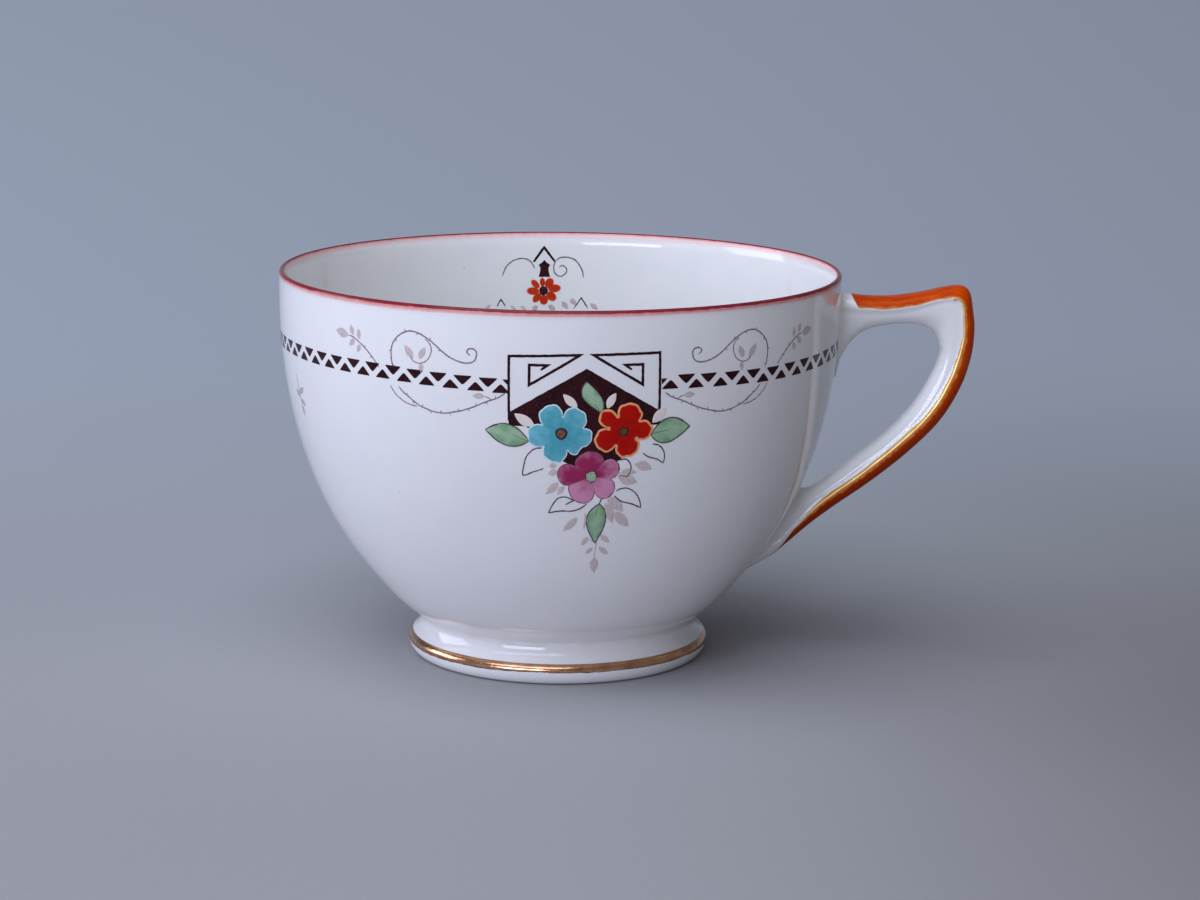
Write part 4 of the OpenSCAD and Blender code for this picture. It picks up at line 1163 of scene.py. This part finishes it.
for side, az in (("front", FRONT), ("rear", REAR)):
    for name, make, finish, slot in (
            ("key_lines", key_lines, DARK_INK, "dark_print"),
            ("dark_ground", dark_ground, DARK_INK, "dark_print"),
            ("scrolls", scrolls, PALE_INK, "pale_print"),
            ("turquoise_flower", turquoise_flower, TURQUOISE, "turquoise_enamel"),
            ("red_flower", red_flower, RED, "red_enamel"),
            ("pink_flower", pink_flower, PINK, "pink_enamel"),
            ("flower_centres", flower_centres, CENTRES, "centre_enamel"),
            ("green_leaves", green_leaves, GREEN, "green_enamel"),
            ("pale_leaves", pale_leaves, PALE_INK, "pale_print"),
            ("outlined_leaves", outlined_leaves, DARK_INK, "dark_print")):
        make_piece(f"{name}_{side}", make(az), finish, slot, f"{side}_{name}")

make_piece("inside_roof", inside_roof(), DARK_INK, "dark_print", "inside_roof_print")
make_piece("inside_petals", inside_petals(), INSIDE_RED, "red_enamel", "inside_flower")
make_piece("inside_curls", inside_scrolls(), PALE_INK, "pale_print", "inside_scrolls")


# ---------------------------------------------------------------- floor, lights and camera


def backdrop():
    """A floor that sweeps up behind the cup: a line and a quarter circle along Y, straight along X."""
    start, sweep = 120, 1500
    turn = np.linspace(0, np.pi / 2, 60)[1:]
    y = np.concatenate([np.linspace(-2500, start, 40), start + sweep * np.sin(turn)])
    z = np.concatenate([np.zeros(40), sweep - sweep * np.cos(turn)])
    x = np.linspace(-3000, 3000, 40)[None, :]
    points = np.stack([x + 0 * y[:, None], y[:, None] + 0 * x, z[:, None] + 0 * x], -1) * MM
    vertices, quads, _ = sheet(points)
    mesh = bpy.data.meshes.new("backdrop")
    mesh.from_pydata(vertices.tolist(), [], quads[:, ::-1].tolist())
    mesh.polygons.foreach_set("use_smooth", np.ones(len(mesh.polygons), bool))
    mesh.update()
    mesh.materials.append(seamless_paper())
    floor = bpy.data.objects.new("backdrop", mesh)
    bpy.context.scene.collection.objects.link(floor)


def softbox(name, azimuth, elevation, distance, width, height, watts, colour):
    """A rectangular light that looks at the cup. Azimuth 0 is in front, and it grows to the right."""
    a, e = np.radians(azimuth), np.radians(elevation)
    middle = Vector((0, 0, 0.5 * DRAWN_H * MM))
    at = middle + distance * Vector((np.sin(a) * np.cos(e), -np.cos(a) * np.cos(e), np.sin(e)))
    data = bpy.data.lights.new(name, "AREA")
    data.shape, data.size, data.size_y = "RECTANGLE", width, height
    data.energy, data.color = watts, colour
    light = bpy.data.objects.new(name, data)
    light.matrix_world = Matrix.Translation(at) @ (middle - at).to_track_quat("-Z", "Y").to_matrix().to_4x4()
    bpy.context.scene.collection.objects.link(light)


def studio():
    """A wide window light in front to the left, one at the left, a soft light above, and a dim even fill."""
    softbox("front_window", -27, 9, 1.05, 0.66, 0.3, 4.8, (0.75, 0.78, 1.0))
    softbox("side_window", -98, 15, 0.8, 0.46, 0.4, 2.3, (0.74, 0.79, 1.0))
    softbox("overhead", -28, 66, 1.5, 1.4, 1.4, 18.5, (0.77, 0.845, 1.0))
    world = bpy.data.worlds.new("fill")
    world.use_nodes = True
    world.node_tree.nodes["Background"].inputs["Color"].default_value = (0.99, 0.98, 1.0, 1)
    world.node_tree.nodes["Background"].inputs["Strength"].default_value = 0.178
    bpy.context.scene.world = world
    bpy.context.scene.view_settings.view_transform = "Standard"


def camera():
    """Looks slightly down on the cup from in front, with the least bit of roll."""
    pitch, roll = 0.1992, 0.0113
    eye = Vector((6.32, -476.28, 127.68)) * MM
    forward = Vector((0, np.cos(pitch), -np.sin(pitch)))
    right, up = Vector((1, 0, 0)), Vector((0, np.sin(pitch), np.cos(pitch)))
    across = np.cos(roll) * right + np.sin(roll) * up
    upward = -np.sin(roll) * right + np.cos(roll) * up
    data = bpy.data.cameras.new("camera")
    data.lens, data.sensor_width = 94.05, 36.0
    data.clip_start, data.clip_end = 0.01, 20.0
    turn = Matrix((across, upward, -forward)).transposed().to_4x4()
    made = bpy.data.objects.new("camera", data)
    made.matrix_world = Matrix.Translation(eye) @ turn
    bpy.context.scene.collection.objects.link(made)
    bpy.context.scene.camera = made


backdrop()
studio()
camera()
